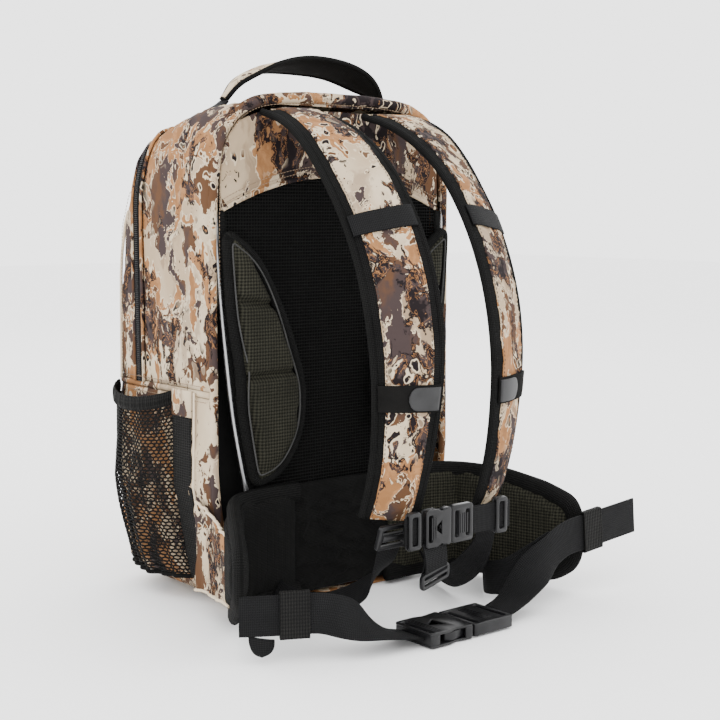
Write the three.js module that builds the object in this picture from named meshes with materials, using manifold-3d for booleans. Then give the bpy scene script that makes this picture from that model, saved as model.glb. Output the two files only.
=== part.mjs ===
// Tackle backpack: a soft upper compartment over a tray bay, a suspended mesh back on a wire
// frame, shoulder straps with a sternum strap, and a padded hip belt with a side-release buckle.
// Millimetres, +Z up. Inside this file y = 0 is the back-panel plane (the wearer stands at -y) and
// the whole pack is shifted by -BASE_CENTRE_Y at the end, so the origin is the centre of the base.
import * as THREE from 'three';
import { mergeVertices } from 'three/addons/utils/BufferGeometryUtils.js';
import Module from 'manifold-3d';

const wasm = await Module();
wasm.setup();

// ---- driving dimensions -------------------------------------------------------------------
const HALF_WIDTH = 145; // of the body at hip to shoulder height
const BASE_HALF = 122; // of the narrower base
const BASE_CORNER = 22; // radius where the sides meet the base
const FLARE_Z = 120; // below this height the sides draw in towards the base
const SHOULDER_Z = 405; // above this height the sides curve in towards the crown
const CROWN_HALF = 105; // half width of the crown
const CROWN_Z = 474; // height of the crown's ends
const CROWN_RISE = 8; // how much the crown arches
const FRONT_Y = 186; // furthest forward point of the body, at the tray bay
const WALL = 3; // padded fabric wall
const EDGE_ROUND = 24; // rounding of the vertical front edges
const GAP = 0.3; // running gap between touching pieces
const BACK_WALL_Y = 22; // the inner back wall stands off the suspended mesh by this much
const DIVIDER_Z = 206; // underside of the shelf between tray bay and upper compartment
const DIVIDER_THICK = 6;
const BASE_RIM = 24; // height of the base tray
const ZIP_Y = 124.5; // main zip line on the sides
const TAPE = 2.2; // half width of a zip's two tapes
const DOOR_HALF = 105; // half width of the tray door
const WIRE_R = 2.5; // steel frame wire
const SLEEVE_R = 5; // sleeve that holds the wire across the top
const STRAP_X = 60; // centre of each shoulder strap
const STRAP_WIDTH = 66;
const STRAP_THICK = 9;
const STRAP_WEB = 25; // width of the adjusting and sternum webbing
const BELT_WEB = 35; // width of the hip belt webbing
const WEB_THICK = 1.8;
const WING_THICK = 10;
const BASE_CENTRE_Y = 90;
const ABOVE = 600; // higher than any piece

const UPPER_Z = DIVIDER_Z + DIVIDER_THICK + GAP; // lowest edge of the upper compartment

// ---- materials ----------------------------------------------------------------------------
const paint = (color, roughness, metalness = 0) =>
  () => new THREE.MeshStandardMaterial({ color, roughness, metalness });
const camo = paint(0xc2a888, 0.8);
const black = paint(0x1c1c1d, 0.85);
const mesh = paint(0x242422, 0.95);
const webbing = paint(0x19191a, 0.75);
const plastic = paint(0x161618, 0.4);
const steel = paint(0xb4b6b8, 0.35, 0.9);
const board = paint(0x3a3a3a, 0.6);

// ---- solids -------------------------------------------------------------------------------
function toSolid(geometry) {
  const bare = geometry.clone();
  bare.deleteAttribute('normal');
  bare.deleteAttribute('uv');
  const welded = mergeVertices(bare, 1e-4);
  return new wasm.Manifold(new wasm.Mesh({
    numProp: 3,
    vertProperties: new Float32Array(welded.attributes.position.array),
    triVerts: new Uint32Array(welded.index.array),
  }));
}

function toGeometry(solid) {
  const { vertProperties, triVerts } = solid.getMesh();
  const geometry = new THREE.BufferGeometry();
  geometry.setAttribute('position', new THREE.BufferAttribute(vertProperties, 3));
  geometry.setIndex(new THREE.BufferAttribute(triVerts, 1));
  geometry.computeVertexNormals();
  return geometry;
}

// Extrusions of a shape drawn in a coordinate plane, between two stations on the third axis.
const basis = (u, v, w) => new THREE.Matrix4().makeBasis(
  new THREE.Vector3(...u), new THREE.Vector3(...v), new THREE.Vector3(...w));
const ALONG_X = basis([0, 1, 0], [0, 0, 1], [1, 0, 0]); // shape in (y, z)
const ALONG_Y = basis([1, 0, 0], [0, 0, 1], [0, -1, 0]); // shape in (x, z)

function extrude(shape, from, to, { round = 0, segments = 6, rings = 3, steps = 1 } = {}) {
  const geometry = new THREE.ExtrudeGeometry(shape, {
    depth: Math.abs(to - from) - 2 * round,
    steps,
    curveSegments: segments,
    bevelEnabled: round > 0,
    bevelThickness: round,
    bevelSize: round,
    bevelOffset: -round,
    bevelSegments: rings,
  });
  return geometry.translate(0, 0, round);
}
const alongX = (shape, x0, x1, options) =>
  extrude(shape, x0, x1, options).applyMatrix4(ALONG_X).translate(x0, 0, 0);
const alongY = (shape, y0, y1, options) =>
  extrude(shape, y0, y1, options).applyMatrix4(ALONG_Y).translate(0, y1, 0);
const alongZ = (shape, z0, z1, options) => extrude(shape, z0, z1, options).translate(0, 0, z0);

function block([x0, x1], [y0, y1], [z0, z1]) {
  return new THREE.BoxGeometry(x1 - x0, y1 - y0, z1 - z0)
    .translate((x0 + x1) / 2, (y0 + y1) / 2, (z0 + z1) / 2);
}
const blockSolid = (x, y, z) => toSolid(block(x, y, z));

// Moves every point of a geometry by a rule, for shears and tapers.
function warp(geometry, rule) {
  const points = geometry.attributes.position;
  const p = new THREE.Vector3();
  for (let i = 0; i < points.count; i += 1) {
    p.fromBufferAttribute(points, i);
    rule(p);
    points.setXYZ(i, p.x, p.y, p.z);
  }
  return geometry;
}

const smooth = (t) => {
  const c = Math.min(Math.max(t, 0), 1);
  return c * c * (3 - 2 * c);
};

// A closed shape through the given points, joined by straight lines or by one smooth curve.
const polygon = (points) => new THREE.Shape(points.map(([u, v]) => new THREE.Vector2(u, v)));
const curveOf = (points) =>
  new THREE.CatmullRomCurve3(points.map(([u, v]) => new THREE.Vector3(u, v, 0)));

// The outline of a strip that follows a plane curve, between two offsets to its left.
function ribbonShape(curve, { near, far, steps = 16 }) {
  const side = (offset) => Array.from({ length: steps + 1 }, (_, i) => {
    const t = i / steps;
    const p = curve.getPointAt(t);
    const tangent = curve.getTangentAt(t);
    return [p.x - tangent.y * offset, p.y + tangent.x * offset];
  });
  return polygon([...side(near), ...side(far).reverse()]);
}

// A flat strap along a curve in space: a box bent so that its length follows the curve, its width
// lies along a chosen direction and its thickness is square to both. Width and direction may vary.
// An offset moves it off the curve along its thickness, and a shift along its width. Lanes divide its
// width, which a strongly turning strap needs.
function strap(points, options) {
  const { width, thick, across, segments = 16, lanes = 1, from = 0, to = 1, offset = 0, shift = 0 } = options;
  const curve = new THREE.CatmullRomCurve3(points.map((p) => new THREE.Vector3(...p)));
  const widthAt = typeof width === 'function' ? width : () => width;
  return warp(new THREE.BoxGeometry(1, thick, 1, segments, 1, lanes), (p) => {
    const t = from + (to - from) * (p.x + 0.5);
    const along = curve.getTangentAt(t);
    const wide = across(t);
    wide.addScaledVector(along, -wide.dot(along)).normalize();
    const normal = new THREE.Vector3().crossVectors(wide, along);
    const aside = wide.multiplyScalar(p.z * widthAt(t) + shift).addScaledVector(normal, p.y + offset);
    p.copy(curve.getPointAt(t)).add(aside);
  });
}

// A round rod or tube section swept along a curve in space.
function swept(points, radius, steps) {
  const path = new THREE.CatmullRomCurve3(points.map((p) => new THREE.Vector3(...p)));
  const circle = new THREE.Shape().absarc(0, 0, radius, 0, 2 * Math.PI);
  return new THREE.ExtrudeGeometry(circle, {
    steps, curveSegments: 4, bevelEnabled: false, extrudePath: path,
  });
}

const pack = new THREE.Group();
function add(name, shape, material, parent = pack) {
  const geometry = shape.isBufferGeometry ? shape : toGeometry(shape);
  const item = new THREE.Mesh(geometry, material());
  item.name = name;
  parent.add(item);
  return item;
}

const SIDES = [['left', -1], ['right', 1]];

// ---- body shell ---------------------------------------------------------------------------
// Seen from behind: narrow base with round corners, upright sides, arched crown.
function backOutline(inset) {
  const base = BASE_HALF - BASE_CORNER;
  const half = HALF_WIDTH - inset;
  const crown = CROWN_HALF - inset;
  const top = CROWN_Z - inset;
  const shape = new THREE.Shape();
  shape.moveTo(-base, inset);
  shape.lineTo(base, inset);
  shape.quadraticCurveTo(BASE_HALF - inset, inset, BASE_HALF + 4 - inset, BASE_CORNER);
  shape.lineTo(half, FLARE_Z);
  shape.lineTo(half, SHOULDER_Z);
  shape.bezierCurveTo(half, SHOULDER_Z + 42, crown + 22, top - 4, crown, top);
  shape.quadraticCurveTo(0, top + 2 * CROWN_RISE, -crown, top);
  shape.bezierCurveTo(-crown - 22, top - 4, -half, SHOULDER_Z + 42, -half, SHOULDER_Z);
  shape.lineTo(-half, FLARE_Z);
  shape.lineTo(-BASE_HALF - 4 + inset, BASE_CORNER);
  shape.quadraticCurveTo(-BASE_HALF + inset, inset, -base, inset);
  return shape;
}

// Seen from the side: full tray bay, slightly leaning front, round top front, sloping crown.
// The back and bottom reach past the body, so that only the front and top edges get rounded.
function frontProfile(inset) {
  const spare = 40;
  const shape = new THREE.Shape();
  shape.moveTo(-spare, -spare);
  shape.lineTo(FRONT_Y - inset, -spare);
  shape.lineTo(FRONT_Y - inset, 150);
  shape.lineTo(178 - inset, 230);
  shape.lineTo(171 - inset, 335);
  shape.bezierCurveTo(166 - inset, 395, 142 - inset, 437 - inset, 100, 452 - inset);
  shape.bezierCurveTo(70, 463 - inset, 30, 472 - inset, -spare, 488 - inset);
  return shape;
}

// Where the base turns up into the front, from a given rear plane.
function bottomProfile(inset, rear) {
  const turn = 26;
  const shape = new THREE.Shape();
  shape.moveTo(rear, inset);
  shape.lineTo(FRONT_Y - turn, inset);
  shape.quadraticCurveTo(FRONT_Y - inset, inset, FRONT_Y - inset, turn);
  shape.lineTo(FRONT_Y - inset, ABOVE);
  shape.lineTo(rear, ABOVE);
  return shape;
}

// The body's volume, inset by a skin thickness. Its rear is open unless a rear plane is given.
function bodySolid(inset, rear = -20) {
  const half = HALF_WIDTH - inset;
  const rounded = toSolid(alongX(frontProfile(inset), -half, half, { round: EDGE_ROUND }));
  return rounded
    .intersect(toSolid(alongY(backOutline(inset), -30, 250)))
    .intersect(toSolid(alongX(bottomProfile(inset, rear), -160, 160)));
}

// Everything in front of the main zip, moved forward by an offset.
function aheadOfZip(offset) {
  const y = ZIP_Y + offset;
  const shape = new THREE.Shape();
  shape.moveTo(y, 180);
  shape.lineTo(y, 372);
  shape.quadraticCurveTo(y, 425, y - 46, 500);
  shape.lineTo(400, 500);
  shape.lineTo(400, 180);
  return toSolid(alongX(shape, -200, 200));
}

const outer = bodySolid(0, GAP);
const inner = bodySolid(WALL);
const shell = outer.subtract(inner);
const ALL_X = [-200, 200]; // past both sides of the body
const ALL_Y = [-50, 250]; // past its back and front

function addBody() {
  add('base_panel', shell.intersect(blockSolid(ALL_X, [0.2, 250], [-1, BASE_RIM - GAP])), camo);
  add('base_board', block([-98, 98], [12, 158], [WALL + GAP, WALL + GAP + 2.5]), board);
  add('divider_panel', outer.intersect(
    blockSolid(ALL_X, [BACK_WALL_Y + WALL + GAP, 250], [DIVIDER_Z, DIVIDER_Z + DIVIDER_THICK])), black);

  const wallBand = blockSolid(ALL_X, [BACK_WALL_Y, BACK_WALL_Y + WALL], [BASE_RIM, ABOVE]);
  add('back_wall', bodySolid(WALL + GAP).intersect(wallBand), black);

  for (const [side, s] of SIDES) {
    const x = s < 0 ? [-200, -DOOR_HALF - GAP] : [DOOR_HALF + GAP, 200];
    const region = blockSolid(x, ALL_Y, [BASE_RIM, DIVIDER_Z - GAP]);
    add(`lower_side_${side}`, shell.intersect(region), camo);
  }

  // Rear half of the upper compartment: both sides and the crown behind the zip, in one strip.
  // Its back edge stands clear of the wire sleeve above the yoke seam.
  const nearSleeve = blockSolid(ALL_X, [-50, SLEEVE_R + 2], [374, ABOVE]);
  add('upper_gusset', shell
    .intersect(blockSolid(ALL_X, ALL_Y, [UPPER_Z, ABOVE]))
    .subtract(aheadOfZip(-TAPE - GAP))
    .subtract(nearSleeve), camo);
}

// Zip tapes lie a little below the fabric's face, one on each side of the parting line.
function addMainZip(lid) {
  const above = blockSolid(ALL_X, [0, 250], [UPPER_Z + GAP, ABOVE]);
  const tape = bodySolid(0.6).subtract(bodySolid(2.4)).intersect(above);
  const rear = tape.intersect(aheadOfZip(-TAPE)).subtract(aheadOfZip(-GAP / 2));
  const front = tape.intersect(aheadOfZip(GAP / 2)).subtract(aheadOfZip(TAPE));
  add('zip_tape_rear', rear, black);
  add('zip_tape_front', front, black, lid);
}

function addLid(lid) {
  const raised = shell.intersect(blockSolid(ALL_X, [0, 250], [UPPER_Z, ABOVE]));
  const cover = raised.intersect(aheadOfZip(TAPE + GAP));
  const seam = 34; // width of the gusset strip between the zip and the front panel
  add('lid_gusset', cover.subtract(aheadOfZip(TAPE + seam)), camo, lid);
  add('lid_front_panel', cover.intersect(aheadOfZip(TAPE + seam + GAP)), camo, lid);
}

// A shallow pouch on the lid's front, open towards the lid, with a flap-covered zip on top.
const POCKET = { half: 92, low: 238, high: 330, deep: 15, rim: 2 };
function addFrontPocket(lid) {
  const outline = (half, low, high) => {
    const shape = new THREE.Shape();
    shape.moveTo(-half, high);
    shape.lineTo(-half, low + 16);
    shape.quadraticCurveTo(-half, low, -half + 16, low);
    shape.lineTo(half - 16, low);
    shape.quadraticCurveTo(half, low, half, low + 16);
    shape.lineTo(half, high);
    return shape;
  };
  const { half, low, high, deep, rim } = POCKET;
  const pouch = toSolid(alongY(outline(half, low, high), 150, FRONT_Y - 6 + deep, { round: 5, rings: 2 }))
    .subtract(toSolid(alongY(outline(half - rim, low + rim, high - rim), 150, FRONT_Y - 6 + deep - rim)));
  const behind = toSolid(alongX(frontProfile(-GAP), -200, 200));
  add('front_pocket', pouch.subtract(behind), camo, lid);
}

function addTrayDoor(door) {
  const region = blockSolid([-DOOR_HALF, DOOR_HALF], [150, 250], [BASE_RIM, DIVIDER_Z - GAP]);
  add('tray_door_panel', shell.intersect(region), camo, door);
}

// ---- suspended back -----------------------------------------------------------------------
// Right half of the wire frame, from the top centre down: (x, z) in the plane of the back.
const WIRE_Y = 1.5;
const SLEEVE_LOW = 378; // the sleeve covers the wire above this height
const WIRE_HALF = [
  [-0.5, 481], [60, 480], [98, 474], [121, 459], [134, 436], [139, 408], [139, 378],
  [133, 290], [121, 187], [108, 120], [99, 70], [90, 42], [70, 30], [35, 27], [-0.5, 27],
];

function addFrameWire() {
  const along = (s, line, radius, steps) =>
    toSolid(swept(line.map(([x, z]) => [s * x, WIRE_Y, z]), radius, steps));
  const loop = (radius) => along(1, WIRE_HALF, radius, 30).add(along(-1, WIRE_HALF, radius, 30));
  add('frame_wire', loop(WIRE_R), steel);

  const sleeveLine = WIRE_HALF.filter(([, z]) => z >= SLEEVE_LOW);
  const sleeve = along(1, sleeveLine, SLEEVE_R, 12).add(along(-1, sleeveLine, SLEEVE_R, 12));
  add('top_roll', sleeve.subtract(loop(WIRE_R + 0.8)), camo);
}

// The mesh hangs inside the wire; the yoke closes the space above it, meeting it in an arch.
function addBackPanels() {
  const reach = WIRE_R + GAP + 0.3;
  const side = [[133, 376], [127.5, 290], [116, 187], [103, 120], [94, 72], [85, 46]];
  const meshShape = new THREE.Shape();
  meshShape.moveTo(-70, 34);
  meshShape.lineTo(70, 34);
  meshShape.splineThru([...side].reverse().map(([x, z]) => new THREE.Vector2(x, z)));
  meshShape.quadraticCurveTo(0, 442, -133, 376);
  meshShape.splineThru(side.slice(1).map(([x, z]) => new THREE.Vector2(-x, z)));
  add('mesh_back_panel', alongY(meshShape, 0.4, 2, { segments: 3 }), mesh);

  const top = SLEEVE_R + reach - WIRE_R;
  const yoke = new THREE.Shape();
  yoke.moveTo(-132.5, 376.8);
  yoke.quadraticCurveTo(0, 442.8, 132.5, 376.8);
  yoke.lineTo(132.5, 408);
  yoke.bezierCurveTo(131, 440, 112, 466, 92, 474 - top);
  yoke.quadraticCurveTo(0, 484.5 - top, -92, 474 - top);
  yoke.bezierCurveTo(-112, 466, -131, 440, -132.5, 408);
  add('top_yoke', alongY(yoke, 0.4, 2.4), camo);
}

function addBackPads() {
  const inside = [[104, 338], [72, 285], [52, 235], [47, 200], [55, 160], [78, 130], [104, 121]];
  for (const [side, s] of SIDES) {
    const shape = new THREE.Shape();
    shape.moveTo(s * 134, 360);
    shape.splineThru(inside.map(([x, z]) => new THREE.Vector2(s * x, z)));
    shape.lineTo(s * 119, 187);
    shape.lineTo(s * 131, 290);
    add(`back_pad_${side}`, alongY(shape, -14, -1.6, { round: 4, segments: 2, rings: 2 }), mesh);
  }
}

// ---- lower side details -------------------------------------------------------------------
const POUCH = { rear: 62, front: 166, low: 24, rim: 196, top: 209, bulge: 28 };

// How far the side has drawn in at a height below the flare.
const drawIn = (z) => (HALF_WIDTH - BASE_HALF - 4) * Math.max(0, (FLARE_Z - z) / (FLARE_Z - BASE_CORNER));

function pouchPlan(s, skin, bulge) {
  const face = HALF_WIDTH + GAP;
  const shape = new THREE.Shape();
  shape.moveTo(s * face, POUCH.rear + skin);
  shape.bezierCurveTo(
    s * (face + bulge * 1.2), POUCH.rear + 12 + skin,
    s * (face + bulge * 1.3 - skin), POUCH.front - 20 - skin,
    s * face, POUCH.front - skin);
  return shape;
}

function addSidePockets() {
  for (const [side, s] of SIDES) {
    const { low, rim, top, bulge } = POUCH;
    const fall = (geometry) => toSolid(warp(geometry, (p) => {
      p.x -= s * drawIn(p.z);
    }));
    const bag = fall(alongZ(pouchPlan(s, 0, bulge), low, rim, { segments: 8, steps: 3 }))
      .subtract(fall(alongZ(pouchPlan(s, 2, bulge - 2), low + 2.5, rim + 5, { segments: 8, steps: 3 })))
      .subtract(bodySolid(-GAP));
    add(`side_pocket_${side}`, bag, mesh);
    const hem = toSolid(alongZ(pouchPlan(s, 0, bulge), rim + GAP, top, { segments: 10 }))
      .subtract(toSolid(alongZ(pouchPlan(s, 2.6, bulge - 3), rim - 5, top + 5, { segments: 10 })));
    add(`pocket_binding_${side}`, hem, black);

    const foot = HALF_WIDTH - drawIn(BASE_RIM);
    const band = [[0.4, 190, HALF_WIDTH], [0.4, FLARE_Z, HALF_WIDTH], [0.6, BASE_RIM, foot],
      [2.2, BASE_RIM, foot], [2, FLARE_Z, HALF_WIDTH], [2, 190, HALF_WIDTH]];
    const section = polygon(band.map(([off, z, x]) => [s * (x + off), z]));
    add(`gusset_band_${side}`, alongY(section, 31, 57), webbing);
  }
}

// ---- hip belt -----------------------------------------------------------------------------
// Plan curves (x, y) from the lumbar outwards and forwards round the wearer's hips.
const WING_PLAN = {
  left: [[-56, -10], [-105, -11], [-134, -21], [-156, -49], [-178, -85], [-200, -122]],
  right: [[56, -10], [105, -11], [137, -27], [160, -70], [173, -112], [184, -152]],
};
const STABILISER_PLAN = {
  left: [[-148.8, 24], [-151, 5], [-158, -20], [-174.6, -66.7]],
  right: [[148.8, 24], [150.5, 4], [157, -28], [169.5, -70]],
};

// Side view (y, z) of each wing. The left one spreads out and up, the right one wraps round low.
const WING_HEIGHT = {
  left: [[20, 8], [20, 118], [-60, 113], [-98, 104], [-120, 95], [-130, 84], [-130, 68],
    [-122, 55], [-102, 42], [-74, 26], [-40, 10]],
  right: [[20, 8], [20, 118], [-70, 113], [-115, 104], [-142, 94], [-158, 76], [-160, 48],
    [-150, 28], [-125, 12], [-90, 8]],
};
const GORE_HEIGHT = [[40, 22], [40, 112], [-80, 92], [-80, 34]];
const GORE_THICK = 2.4;

function addWings() {
  const tall = 130; // above every wing
  const wide = 250; // beyond every wing
  // A wall that follows a plan, cut to its height as seen from the side.
  const panel = (plan, thick, outline, steps) => {
    const ribbon = ribbonShape(curveOf(plan), { near: -thick / 2, far: thick / 2, steps });
    return toSolid(alongZ(ribbon, 0, tall)).intersect(toSolid(alongX(polygon(outline), -wide, wide)));
  };
  for (const [side] of SIDES) {
    add(`hip_wing_${side}`, panel(WING_PLAN[side], WING_THICK, WING_HEIGHT[side]), mesh);
    add(`wing_gore_${side}`, panel(STABILISER_PLAN[side], GORE_THICK, GORE_HEIGHT, 8), camo);
  }
}

// Belt webbing lies flat in the buckle and turns on edge towards each hip. The right one climbs to
// its keeper and ends in a free tail beyond it.
const BELT_LEFT = [[-50.6, -168, 8], [-72, -168, 14], [-105, -167, 29], [-140, -158.5, 42],
  [-165, -146.5, 43], [-190, -132, 43], [-203, -123.6, 43]];
const BELT_RIGHT = [[50.6, -168, 8], [74, -168, 16], [108, -168, 42], [145, -168, 62],
  [180, -168, 66], [248, -168, 72]];
const onEdge = (flatUntil, edgeFrom) => (t) => {
  const turn = (Math.PI / 2) * smooth((t - flatUntil) / (edgeFrom - flatUntil));
  return new THREE.Vector3(0, Math.cos(turn), Math.sin(turn));
};
const BUCKLE_LOW = 1;

function buckleFrame(length, width, thick, slots) {
  const shape = new THREE.Shape();
  const w = width / 2;
  shape.moveTo(0, -w + 3);
  shape.quadraticCurveTo(0, -w, 3, -w);
  shape.lineTo(length - 3, -w);
  shape.quadraticCurveTo(length, -w, length, -w + 3);
  shape.lineTo(length, w - 3);
  shape.quadraticCurveTo(length, w, length - 3, w);
  shape.lineTo(3, w);
  shape.quadraticCurveTo(0, w, 0, w - 3);
  const plate = toSolid(extrude(shape, 0, thick, { segments: 2 }));
  const cut = (solid, [u0, u1, v]) => solid.subtract(blockSolid([u0, u1], [-v, v], [-1, thick + 1]));
  return slots.reduce(cut, plate);
}

// Female half: a flat sleeve with side windows. Male half: a bar with two sprung prongs.
function femaleHalf(length, width, thick) {
  const skin = 2;
  const inner = width / 2 - skin - 1;
  const hollow = [skin, thick - skin];
  const sleeve = buckleFrame(length, width, thick, [[3, 8, width / 2 - 5]]);
  const cavity = blockSolid([12, length + 5], [-inner, inner], hollow);
  const windows = blockSolid([18, length - 9], [-width, width], hollow);
  return sleeve.subtract(cavity).subtract(windows);
}

function maleHalf(length, width, thick, reach) {
  const slot = width / 2 - 5;
  const bar = buckleFrame(length, width, thick, [[4, 9, slot], [length - 9, length - 4, slot]]);
  const skin = 2.5;
  const depth = [skin, thick - skin];
  const [inner, outer] = [width / 2 - 9, width / 2 - 4];
  const prong = (s) => blockSolid([-reach, 1], s < 0 ? [-outer, -inner] : [inner, outer], depth);
  const tongue = blockSolid([-reach + 4, 1], [-2.5, 2.5], depth);
  return bar.add(prong(1)).add(prong(-1)).add(tongue);
}

function placed(solid, position, rotation = [0, 0, 0]) {
  const matrix = new THREE.Matrix4().makeRotationFromEuler(new THREE.Euler(...rotation));
  matrix.setPosition(...position);
  return toGeometry(solid).applyMatrix4(matrix);
}

// An elastic loop round the belt webbing: a flat tube with a slot for the strap.
function keeperLoop(length, height) {
  const slot = 2.2;
  return blockSolid([-length / 2, length / 2], [-3.6, 3.6], [0, height])
    .subtract(blockSolid([-length, length], [-slot, slot], [2, height - 2]));
}

function addBelt(right, keeperLeft, keeperRight) {
  const belt = { width: BELT_WEB, thick: WEB_THICK, segments: 18 };
  const turning = { segments: 44, lanes: 4, across: onEdge(0.06, 0.6) };
  add('belt_webbing_left', strap(BELT_LEFT, { ...belt, ...turning }), webbing);
  add('belt_webbing_right', strap(BELT_RIGHT, { ...belt, across: onEdge(0.08, 0.45) }), webbing, right);

  const width = 50;
  const thick = 13;
  add('belt_buckle_female', placed(femaleHalf(50, width, thick), [-50, -169, BUCKLE_LOW]), plastic);
  add('belt_buckle_male', placed(maleHalf(48, width, thick, 34), [2, -169, BUCKLE_LOW]), plastic, right);
  const loop = keeperLoop(26, BELT_WEB + 6);
  add('belt_keeper_left', placed(loop, [-163, -147.6, 22.5], [0, 0, -0.463]), black, keeperLeft);
  add('belt_keeper_right', placed(loop, [186, -168, 46], [0, -0.09, 0]), black, keeperRight);
}

// ---- shoulder straps ----------------------------------------------------------------------
// Side view (y, z) of a strap's middle line, from the yoke over the shoulder to its lower end.
const STRAP_LINE = [
  [-8, 466], [-34, 459], [-60, 447], [-86, 428], [-111, 403], [-136, 368], [-155, 329],
  [-167, 288], [-172, 245], [-170, 205], [-164, 165], [-156, 135], [-147, 110],
];
const STRAP_TURN = 0.39; // radians that the outer edge turns back, below the shoulder
const strapWidth = (t) => STRAP_WIDTH * (1 - 0.22 * smooth((t - 0.55) / 0.4));

function strapPiece(s, options) {
  const line = STRAP_LINE.map(([y, z]) => [s * STRAP_X, y, z]);
  const across = (t) => {
    const turn = STRAP_TURN * smooth(t / 0.3);
    return new THREE.Vector3(Math.cos(turn), s * Math.sin(turn), 0);
  };
  return strap(line, { across, ...options });
}

// Each strap also has a webbing bar, a patch of loop tape and a tab that folds over the patch.
function addShoulderStraps(tabs) {
  for (const [side, s] of SIDES) {
    add(`shoulder_strap_${side}`,
      strapPiece(s, { width: strapWidth, thick: STRAP_THICK, segments: 28 }), camo);
    const skin = { thick: 1.6, offset: -STRAP_THICK / 2 - 1.2, segments: 3 };
    add(`strap_bar_${side}`, strapPiece(s, { ...skin, width: 58, from: 0.365, to: 0.41 }), webbing);
    add(`loop_patch_${side}`, strapPiece(s, { ...skin, width: 52, from: 0.715, to: 0.768 }), black);
    const tab = { thick: 1.6, offset: -STRAP_THICK / 2 - 3.4, segments: 1, width: 24, shift: -s * 15 };
    add(`strap_tab_${side}`, strapPiece(s, { ...tab, from: 0.718, to: 0.765 }), plastic, tabs[side]);
  }
}

// Below each strap: a ladder lock, and webbing that runs back and out to the hip belt.
const WEB_LINE = [[60, -149, 86], [61, -141, 66], [66, -118, 34], [76, -84, 12], [88, -50, 8],
  [94, -24, 14]];
const LOCK_LEAN = [0, 1.25, -Math.PI / 2, 'ZYX']; // the lock hangs on in line with its strap
function addLowerWebbing() {
  const width = STRAP_WEB + 10;
  const lock = buckleFrame(24, width, 4.5, [[4, 8, width / 2 - 4], [16, 20, width / 2 - 4]]);
  for (const [side, s] of SIDES) {
    add(`ladder_lock_${side}`, placed(lock, [s * STRAP_X, -147, 106], LOCK_LEAN), plastic);
    const line = WEB_LINE.map(([x, y, z]) => [s * x, y, z]);
    add(`strap_webbing_${side}`, strap(line, {
      width: STRAP_WEB, thick: WEB_THICK, across: () => new THREE.Vector3(1, 0, 0),
    }), webbing);
  }
}

// ---- sternum strap ------------------------------------------------------------------------
const STERNUM_Y = -171;
const STERNUM_Z = 101; // middle of the strap
function addSternum(leftHalf, rightHalf, male) {
  const low = STERNUM_Z - STRAP_WEB / 2;
  const high = STERNUM_Z + STRAP_WEB / 2;
  const flat = [STERNUM_Y - WEB_THICK / 2, STERNUM_Y + WEB_THICK / 2];
  const turn = [Math.PI / 2, 0, 0];
  const width = STRAP_WEB + 9;
  const thick = 8.4;
  const front = STERNUM_Y + thick / 2;
  const clip = (x) => {
    const body = blockSolid([x - 7, x + 7], [STERNUM_Y - 3.4, STERNUM_Y + 3.4], [low - 4, high + 4]);
    const slot = [[x - 20, x + 20], [flat[0] - GAP, flat[1] + GAP], [low - GAP, high + GAP]];
    return body.subtract(blockSolid(...slot));
  };
  add('sternum_clip_left', clip(-52), plastic, leftHalf);
  add('sternum_clip_right', clip(54), plastic, rightHalf);
  add('sternum_webbing_left', block([-62, -41], flat, [low, high]), webbing, leftHalf);
  add('sternum_webbing_right', block([18.5, 66], flat, [low, high]), webbing, male);
  add('sternum_buckle_female', placed(femaleHalf(30, width, thick), [-40, front, STERNUM_Z], turn),
    plastic, leftHalf);
  add('sternum_buckle_male', placed(maleHalf(26, width, thick, 18), [-8.5, front, STERNUM_Z], turn),
    plastic, male);
}

// ---- grab handle --------------------------------------------------------------------------
const HANDLE_Y = 46;
function addHandle(body) {
  const arch = [[97, 480], [82, 496], [52, 510], [20, 516]];
  const half = (s) => arch.map(([x, z]) => [s * x, HANDLE_Y, z]);
  const line = [...half(-1), ...half(1).reverse()];
  add('grab_handle', strap(line, {
    width: (t) => 10 + 18 * smooth(4 * t * (1 - t) / 0.6),
    thick: 6,
    segments: 22,
    across: () => new THREE.Vector3(0, 1, 0),
  }), camo, body);
}

// ---- zip sliders --------------------------------------------------------------------------
function addSliders(mainSlider, mainPull, pocketSlider, traySlider) {
  const face = HALF_WIDTH + GAP;
  add('main_zip_slider', block([face, face + 4], [ZIP_Y - 5, ZIP_Y + 5], [248, 262]), steel, mainSlider);
  const tab = polygon([[-3, 0], [3, 0], [4, -30], [2.5, -34], [-2.5, -34], [-4, -30]]);
  add('main_zip_pull', alongX(tab, face + 4 + GAP, face + 6.3).translate(0, ZIP_Y, 258), black, mainPull);
  const { high, deep } = POCKET;
  const top = FRONT_Y - 6 + deep;
  const onPocket = block([-78, -66], [top + GAP, top + 4], [high - 16, high - 8]);
  add('pocket_zip_slider', onPocket, steel, pocketSlider);
  const onTray = block([-96, -84], [FRONT_Y + GAP, FRONT_Y + 4], [DIVIDER_Z - 12, DIVIDER_Z - 4]);
  add('tray_zip_slider', onTray, steel, traySlider);
}

// ---- assembly -----------------------------------------------------------------------------
const bodies = ['lid', 'tray_door', 'handle', 'sternum_left', 'sternum_right', 'sternum_male',
  'belt_right', 'keeper_left', 'keeper_right', 'tab_left', 'tab_right', 'main_slider', 'main_pull',
  'pocket_slider', 'tray_slider'];
const group = Object.fromEntries(bodies.map((name) => [name, new THREE.Group()]));
pack.add(...Object.values(group));

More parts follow.
